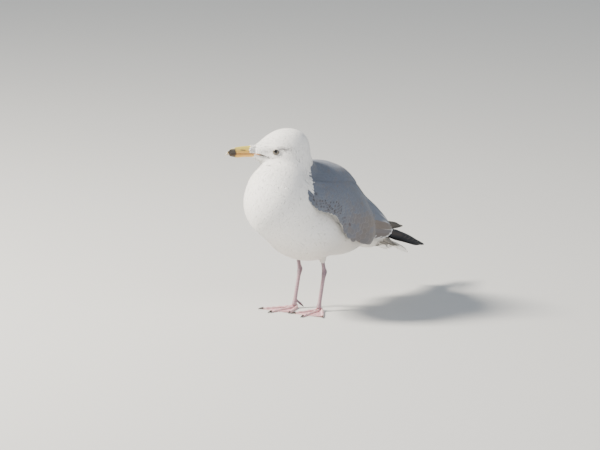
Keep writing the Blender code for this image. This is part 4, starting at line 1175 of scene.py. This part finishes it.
for side, label in ((1, "left"), (-1, "right")):
    share = np.linspace(0, 1, 60)
    forward = GAPE_FRONT[0] + (GAPE_REAR[0] - GAPE_FRONT[0]) * share
    up = GAPE_FRONT[1] + (GAPE_REAR[1] - GAPE_FRONT[1]) * share ** 1.4
    path = HEAD_CENTRE + np.stack([forward, side * (0.006 + 0.014 * share), up], axis=1) @ HEAD.T
    path = settle(path, 0.0001 - 0.0004 * share, body_surface, steps=8)
    swell = 0.55 + 0.45 * np.sin(math.pi * np.minimum(share * 1.6, 1))
    thick = GAPE_RADIUS * (swell - 0.62 * smooth(share, 0.55, 1.0))
    rings = rings_along(path, thick[:, None], thick[:, None], 12, HEAD[:, 1] * side)
    tan, dark = rgb(GAPE_TAN_HEX), rgb(GAPE_DARK_HEX)
    tint = tan + (dark - tan) * smooth(share, 0.12, 0.42)[:, None]
    colours = np.broadcast_to(tint[:, None, :], rings.shape)
    add_rings("mouth_corner_" + label, rings, colours, fold_skin)


# ---------------------------------------------------------------- eyes
# Glossy eyeballs with a pale, flecked iris, its upper half darkened as painted shade from the brow, and a black
# pupil, sunk to their middles in the head. The lid round each follows the ball, dark at its rim, and runs out
# pale under the face's feathers.
PUPIL_ANGLE, IRIS_ANGLE, LID_OPEN, EYE_OUT = 24.0, 39.0, 38.0, 0.0005
IRIS_HEX, IRIS_RIM_AND_SHADE_HEX, PUPIL_HEX, LID_HEX = "857C69", "3A332D", "050505", "38332F"

eye_glass, eye_shader = new_material(
    "clear_cornea_over_iris", Roughness=0.06, Coat_Weight=1.0, Coat_Roughness=0.02, IOR=1.38,
    Specular_IOR_Level=0.5)
iris_flecks = texture(eye_glass, {"Scale": 1600.0, "Detail": 3.0})
painted(eye_glass, eye_shader, ranged(eye_glass, iris_flecks, 0.70, 1.05))
lid_skin, lid_shader = new_material("bare_lid_skin", Roughness=0.5, Specular_IOR_Level=0.4)
painted(lid_skin, lid_shader)
grained(lid_skin, lid_shader, 0.5, 0.0002, texture(lid_skin, {"Scale": 2600.0}, "ShaderNodeTexVoronoi"))

for label, centre in zip(("left", "right"), EYES):
    _, outward = form(centre[None], BODY)
    centre = centre + outward[0] * EYE_OUT
    side = 1 if label == "left" else -1
    gaze = unit(outward[0] + 0.10 * HEAD[:, 0])
    upward = unit(HEAD[:, 2] - gaze * (HEAD[:, 2] @ gaze))
    forward = np.cross(upward, gaze) * side
    basis = np.stack([forward, upward, gaze], axis=1)
    unit_points, unit_faces = ball(40)
    polar = np.degrees(np.arccos(np.clip(unit_points[:, 2], -1, 1)))
    iris, rim, black = (rgb(code) for code in (IRIS_HEX, IRIS_RIM_AND_SHADE_HEX, PUPIL_HEX))
    # painted shade: the iris's upper half is darkened to the rim's colour, as if shaded by the brow
    edge = np.maximum(
        smooth(polar, IRIS_ANGLE - 6, IRIS_ANGLE), 0.88 * smooth(unit_points[:, 1], -0.10, 0.22))[:, None]
    colours = iris + (rim - iris) * edge
    colours = colours + (black - colours) * (1 - smooth(polar, PUPIL_ANGLE - 2, PUPIL_ANGLE + 2))[:, None]
    mesh = mesh_from("eyeball_" + label, centre + ORIGIN + (unit_points * EYE_RADIUS) @ basis.T, unit_faces)
    points = unit_points @ basis.T
    if facing_out(points, unit_faces) is not unit_faces:
        mesh.flip_normals()
    paint(mesh, colours)
    add_piece("eyeball_" + label, mesh, eye_glass, ("eye_" + label,))
    turn = np.linspace(0, 2 * math.pi, 64, endpoint=False)[None, :]
    profile = np.array([
        (-3, 0.992), (-1, 1.012), (2, 1.050), (6, 1.060), (11, 1.038), (17, 1.015), (25, 1.005), (38, 0.95)])
    opening = LID_OPEN - 9.0 * smooth(np.sin(turn), 0.1, 1.0) + 2.5 * np.abs(np.cos(turn)) ** 3
    opening = opening - 2.0 * smooth(-np.sin(turn), 0.3, 1.0)
    polar = np.radians(opening + profile[:, 0, None])
    reach = EYE_RADIUS * profile[:, 1, None]
    ring = np.stack([
        reach * np.sin(polar) * np.cos(turn), reach * np.sin(polar) * np.sin(turn), reach * np.cos(polar)], -1)
    ring = centre + ring @ basis.T
    dark, pale = rgb(LID_HEX), rgb("DAD8D4")
    fade = smooth(profile[:, 0], 4, 13)[:, None, None] + 0 * turn[..., None]
    faces = tube_faces(len(profile), 64)
    mesh = mesh_from("lid_" + label, ring.reshape(-1, 3) + ORIGIN, faces if side > 0 else faces[:, ::-1])
    paint(mesh, (dark + (pale - dark) * fade).reshape(-1, 3))
    add_piece("lid_" + label, mesh, lid_skin)


# ---------------------------------------------------------------- legs
# Bare tibia, ankle and shank: thin, hard, pink-grey skin in plates down the front and small scales behind,
# greyer up the tibia as painted shade under the belly.
# Short white feathers clothe the thigh down to the bare part.
LEG_SPACING = 0.025
HIP, ANKLE = np.array((-0.006, 0.017, 0.098)), np.array((-0.008, 0.028, 0.064))
FOOT = np.array((-0.008, 0.013, 0.0086))
SHANK_RADIUS, ANKLE_SWELL, FOOT_SWELL = 0.0029, 0.0012, 0.0010
THIGH_RADIUS, THIGH_SHARE = 0.0080, 0.74
SCUTE_PITCH, SCUTE_DEPTH = 0.0023, 0.00016
LEG_HEX, LEG_SHADE_GREY_HEX, JOINT_HEX = "A98D95", "6F646E", "7C6A75"

leg_leather, leg_shader = new_material(
    "scaled_leg_skin", Roughness=0.46, Specular_IOR_Level=0.45, Subsurface_Weight=0.10, Subsurface_Scale=0.002)
leg_cells = texture(leg_leather, {"feature": "DISTANCE_TO_EDGE", "Scale": 780.0}, "ShaderNodeTexVoronoi")
leg_seams = ranged(leg_leather, leg_cells, 0.72, 1.0, 0.0, 0.16)
painted(leg_leather, leg_shader, leg_seams)
grained(leg_leather, leg_shader, 0.5, 0.0003, leg_seams)


for side, label in ((1, "left"), (-1, "right")):
    beside = np.array((side * LEG_SPACING, 0.0, 0.0))
    foot, ankle, hip = FOOT + beside, ANKLE + beside, HIP + beside
    lower, upper_length = np.linalg.norm(ankle - foot), np.linalg.norm(hip - ankle)
    count = 150
    reach = np.linspace(-0.0035, lower + upper_length, count)
    low_way, up_way = unit(ankle - foot), unit(hip - ankle)
    bend = smooth(reach, lower - 0.006, lower + 0.006)[:, None]
    path = foot + low_way * np.minimum(reach, lower)[:, None] + up_way * np.maximum(reach - lower, 0)[:, None]
    path = path + bend * (1 - bend) * 0.0022 * unit(low_way - up_way)
    above = np.clip((reach - lower) / upper_length, 0, 1)
    radius = SHANK_RADIUS + ANKLE_SWELL * np.exp(-((reach - lower + 0.001) / 0.0065) ** 2)
    radius = radius + FOOT_SWELL * np.exp(-((reach + 0.001) / 0.006) ** 2)
    radius = radius + (THIGH_RADIUS - 0.0022 - SHANK_RADIUS) * smooth(above, 0.62, 1.1) * (above > 0)
    sides = 32
    angle = np.linspace(0, 2 * math.pi, sides, endpoint=False)
    scutes = (reach / SCUTE_PITCH) % 1
    on_front = smooth(np.cos(angle), 0.15, 0.6)[None, :] * (1 - smooth(above, 0.3, 0.5))[:, None]
    plate = SCUTE_DEPTH * (scutes[:, None] ** 0.5 - 0.6) * on_front
    rings = rings_along(
        path, radius[:, None] + plate, 1.12 * radius[:, None] + plate, sides, np.array((0.0, -1.0, 0.0)))
    rings[..., 2] = np.maximum(rings[..., 2], 0.0040)
    skin_pink, grey, joint = (rgb(code) for code in (LEG_HEX, LEG_SHADE_GREY_HEX, JOINT_HEX))
    near_joint = np.exp(-((reach - lower) / 0.008) ** 2)[:, None, None]
    colours = skin_pink + (joint - skin_pink) * 0.8 * near_joint + 0 * angle[None, :, None]
    # painted shade: the bare tibia greys upward towards the belly that overhangs it
    colours = colours + (grey - colours) * (smooth(above, 0.05, 0.6) * 0.7)[:, None, None]
    seam = (1 - smooth(scutes, 0.0, 0.18))[:, None] * on_front
    colours = colours * (1 - 0.28 * seam[..., None])
    add_rings("leg_" + label, rings, colours, leg_leather, ("thigh_" + label, "shank_" + label))
    # thigh feathers, in rings that follow the leg down
    chance = np.random.default_rng(71 + side)
    place, turn = np.meshgrid(np.linspace(THIGH_SHARE, 1.0, 9), np.arange(26) / 26 * 2 * math.pi, indexing="ij")
    place = (place + chance.normal(size=place.shape) * 0.02).ravel()
    turn = (turn + chance.normal(size=turn.shape) * 0.12).ravel()
    ahead = unit(np.array((0.0, -1.0, 0.0)) - up_way * (up_way @ np.array((0.0, -1.0, 0.0))))
    out = np.cos(turn)[:, None] * ahead + np.sin(turn)[:, None] * np.cross(up_way, ahead)
    radius = 0.0034 + (THIGH_RADIUS - 0.0034) * smooth(place, THIGH_SHARE - 0.14, 1.1)
    roots = ankle + up_way * (place * upper_length)[:, None] + out * (radius - 0.0008)[:, None]
    s, t, run = vane_grid(4, 6, len(roots), chance, 0.30, 0.24)
    length, width = 0.0078, 0.0046
    closing = ((radius - 0.0036) / (place * upper_length + 0.004))[:, None, None]
    across = np.cross(out, up_way)
    points = roots[:, None, None, :] - up_way * (length * run)[..., None]
    outline = width / 2 * t * (1 - 0.4 * smooth(s, 0.6, 1.0)) * (0.5 + 0.5 * smooth(s, 0, 0.5))
    points = points + across[:, None, None, :] * outline[..., None]
    inward = -0.0008 * t ** 2 - closing * length * run * 0.7 + 0.0012 * s
    points = points + out[:, None, None, :] * inward[..., None]
    base = plumage(roots, chance.random(len(roots)))[:, None, None, :] * 0.96
    add_vanes("coat_thigh_" + label, points, unwrap(roots), base, s, t, white_feather)


# ---------------------------------------------------------------- feet
# Three forward toes with webs between them, flat on the floor: knuckled, scaled, thin-skinned and folded.
# Each toe ends in a short dark claw; the small hind toe stands clear behind, its claw towards the floor.
FOOT_HEADING = 7.0
TOES = {"inner": (0.047, -28.0), "middle": (0.060, 0.0), "outer": (0.055, 30.0)}     # length, degrees outward
TOE_JOINTS = {"inner": (0.42, 0.80), "middle": (0.30, 0.60, 0.84), "outer": (0.26, 0.48, 0.68, 0.86)}
TOE_HALF_WIDTH, TOE_HEIGHT, WEB_HEIGHT, TOE_PITCH = 0.0032, 0.0048, 0.0011, 0.0030
CLAW_LENGTH, CLAW_RADIUS = 0.0085, 0.0017
HIND_TOE_START, HIND_TOE_HEIGHT, HIND_TOE_LENGTH, HIND_TOE_RADIUS = 0.0058, 0.0130, 0.0080, 0.0022
HIND_CLAW_LENGTH, HIND_CLAW_RADIUS = 0.0045, 0.0012
TOE_HEX, WEB_HEX, CLAW_HEX = "DDB8BB", "D3A4AC", "2A2422"

claw_horn, claw_shader = new_material(
    "dark_claw_horn", Roughness=0.32, Coat_Weight=0.3, Coat_Roughness=0.2, IOR=1.54)
claw_grain = texture(claw_horn, {"Scale": 900.0, "Detail": 4.0})
claw_ramp = add_node(claw_horn, "ShaderNodeMix", {"data_type": "RGBA"}, {0: claw_grain})
claw_ramp.inputs[6].default_value, claw_ramp.inputs[7].default_value = linear(CLAW_HEX), linear("4B3F39")
claw_horn.node_tree.links.new(claw_ramp.outputs[2], claw_shader.inputs["Base Color"])
grained(claw_horn, claw_shader, 0.2, 0.0002, claw_grain)


def claw(name, start, way, down, length, radius, replaced):
    """A curved, tapering horn: its radius falls as (1 - s)^0.7 and it bends down by s squared."""
    share = np.linspace(0, 1, 26)
    path = start + way * (length * np.sin(share * 1.25) / math.sin(1.25))[:, None]
    path[:, 2] = path[:, 2] - down * share ** 2
    thick = np.maximum(radius * (1 - share) ** 0.7, 0.0001)
    rings = rings_along(path, 0.8 * thick[:, None], 1.1 * thick[:, None], 14, np.array((0.0, 0.0, 1.0)))
    rings[..., 2] = np.maximum(rings[..., 2], 0.00005)
    add_rings(name, rings, None, claw_horn, (replaced,))


for side, label in ((1, "left"), (-1, "right")):
    heel = np.array((FOOT[0] + side * LEG_SPACING, FOOT[1] + 0.004, 0.0))
    heading = math.radians(FOOT_HEADING)
    broad = np.array((side * math.cos(heading), math.sin(heading), 0.0))
    share = np.linspace(0, 1, 72)
    lines, rises, tints = [], [], []
    previous = None
    for index, (title, (length, swing)) in enumerate(TOES.items()):
        angle = math.radians(FOOT_HEADING + swing)
        way = np.array((side * math.sin(angle), -math.cos(angle), 0.0))
        sideways = np.array((-way[1], way[0], 0.0)) * side
        base = heel + broad * (index - 1) * TOE_PITCH
        half = TOE_HALF_WIDTH * (0.45 + 0.55 * np.minimum(share * 5, 1)) * (1 - 0.35 * share)
        half = half * np.sqrt(np.clip(1 - np.clip((share - 0.90) / 0.105, 0, 1) ** 2, 0, 1))
        joints = sum(np.exp(-((share - at) / 0.045) ** 2) for at in TOE_JOINTS[title])
        half = half * (0.92 + 0.14 * joints)
        height = TOE_HEIGHT * (1 - 0.35 * share) * (0.88 + 0.20 * joints)
        height = height + 0.0028 * np.exp(-(share / 0.10) ** 2)
        scutes = 0.00012 * ((share * length / 0.0017) % 1) ** 0.5
        if previous is not None:
            before_way, before_length, before_base = previous
            for mix in np.linspace(0, 1, 17)[1:-1]:
                blend = unit(before_way * (1 - mix) + way * mix)
                scallop = 1 - 0.20 * math.sin(math.pi * mix) ** 0.7
                start = before_base * (1 - mix) + base * mix
                extent = (before_length * (1 - mix) + length * mix) * scallop * 0.93
                lines.append(start + share[:, None] * extent * blend)
                folds = 0.00022 * np.cos(mix * 6 * math.pi) * smooth(share, 0.2, 0.9)
                ripple = 0.00010 * np.sin(share * 46 + 5 * mix)
                web = (WEB_HEIGHT + folds + ripple) * (1 - 0.45 * smooth(share, 0.93, 1.0))
                rises.append(web + 0.0045 * np.exp(-(share / 0.13) ** 2))
                tints.append(0.55 * math.sin(math.pi * mix) + 0.1 + 0 * share)
        for offset in np.linspace(-1, 1, 13):
            lines.append(base + share[:, None] * length * way + half[:, None] * offset * sideways)
            rises.append((height + scutes * (abs(offset) < 0.6)) * math.sqrt(1 - 0.80 * offset * offset))
            tints.append(0.15 * joints * (1 - abs(offset)))
        previous = (way, length, base)
        start = base + way * (length - 0.0010) + np.array((0, 0, 0.0022))
        claw("claw_" + title + "_" + label + "_horn", start, way, 0.0016, CLAW_LENGTH + 0.0008, CLAW_RADIUS,
             "claw_" + title + "_" + label)
    top = np.stack(lines, axis=1)
    bottom = top.copy()
    top[..., 2] = np.stack(rises, axis=1)
    bottom[..., 2] = 0.00002
    rows, columns = top.shape[:2]
    # one closed loop round each row: over the toes and webs, and back beneath
    rings = np.concatenate([top, bottom[:, ::-1]], axis=1)
    tint = np.stack(tints, axis=1)
    tint = np.concatenate([tint, tint[:, ::-1]], axis=1)[..., None]
    pink, web = rgb(TOE_HEX), rgb(WEB_HEX)
    colours = pink + (web - pink) * np.clip(tint * 1.6, 0, 1)
    colours = colours * (1 - 0.25 * np.clip(tint, 0, 1) * 0.5)
    add_rings("foot_" + label + "_skin", rings, colours, leg_leather, ("foot_" + label,))
    back = np.array((-side * 0.5, 0.866, 0.0))
    start = np.array((FOOT[0] + side * LEG_SPACING, FOOT[1], HIND_TOE_HEIGHT)) + back * (HIND_TOE_START - 0.003)
    share = np.linspace(0, 1, 34)
    path = start + back * ((HIND_TOE_LENGTH + 0.003) * share)[:, None]
    path = path - np.array((0, 0, 0.0090)) * (share ** 1.2)[:, None]
    thick = HIND_TOE_RADIUS * (1 - 0.30 * share) * (1 + 0.10 * np.cos(share * 9))
    rings = rings_along(path, thick[:, None], thick[:, None], 18, np.array((0, 0, 1.0)))
    colours = np.broadcast_to(rgb(JOINT_HEX), rings.shape)
    add_rings("toe_hind_" + label + "_skin", rings, colours, leg_leather, ("toe_hind_" + label,))
    along = unit(path[-1] - path[-2])
    claw("claw_hind_" + label + "_horn", path[-1] - along * 0.0004, along, 0.0004, HIND_CLAW_LENGTH,
         HIND_CLAW_RADIUS, "claw_hind_" + label)
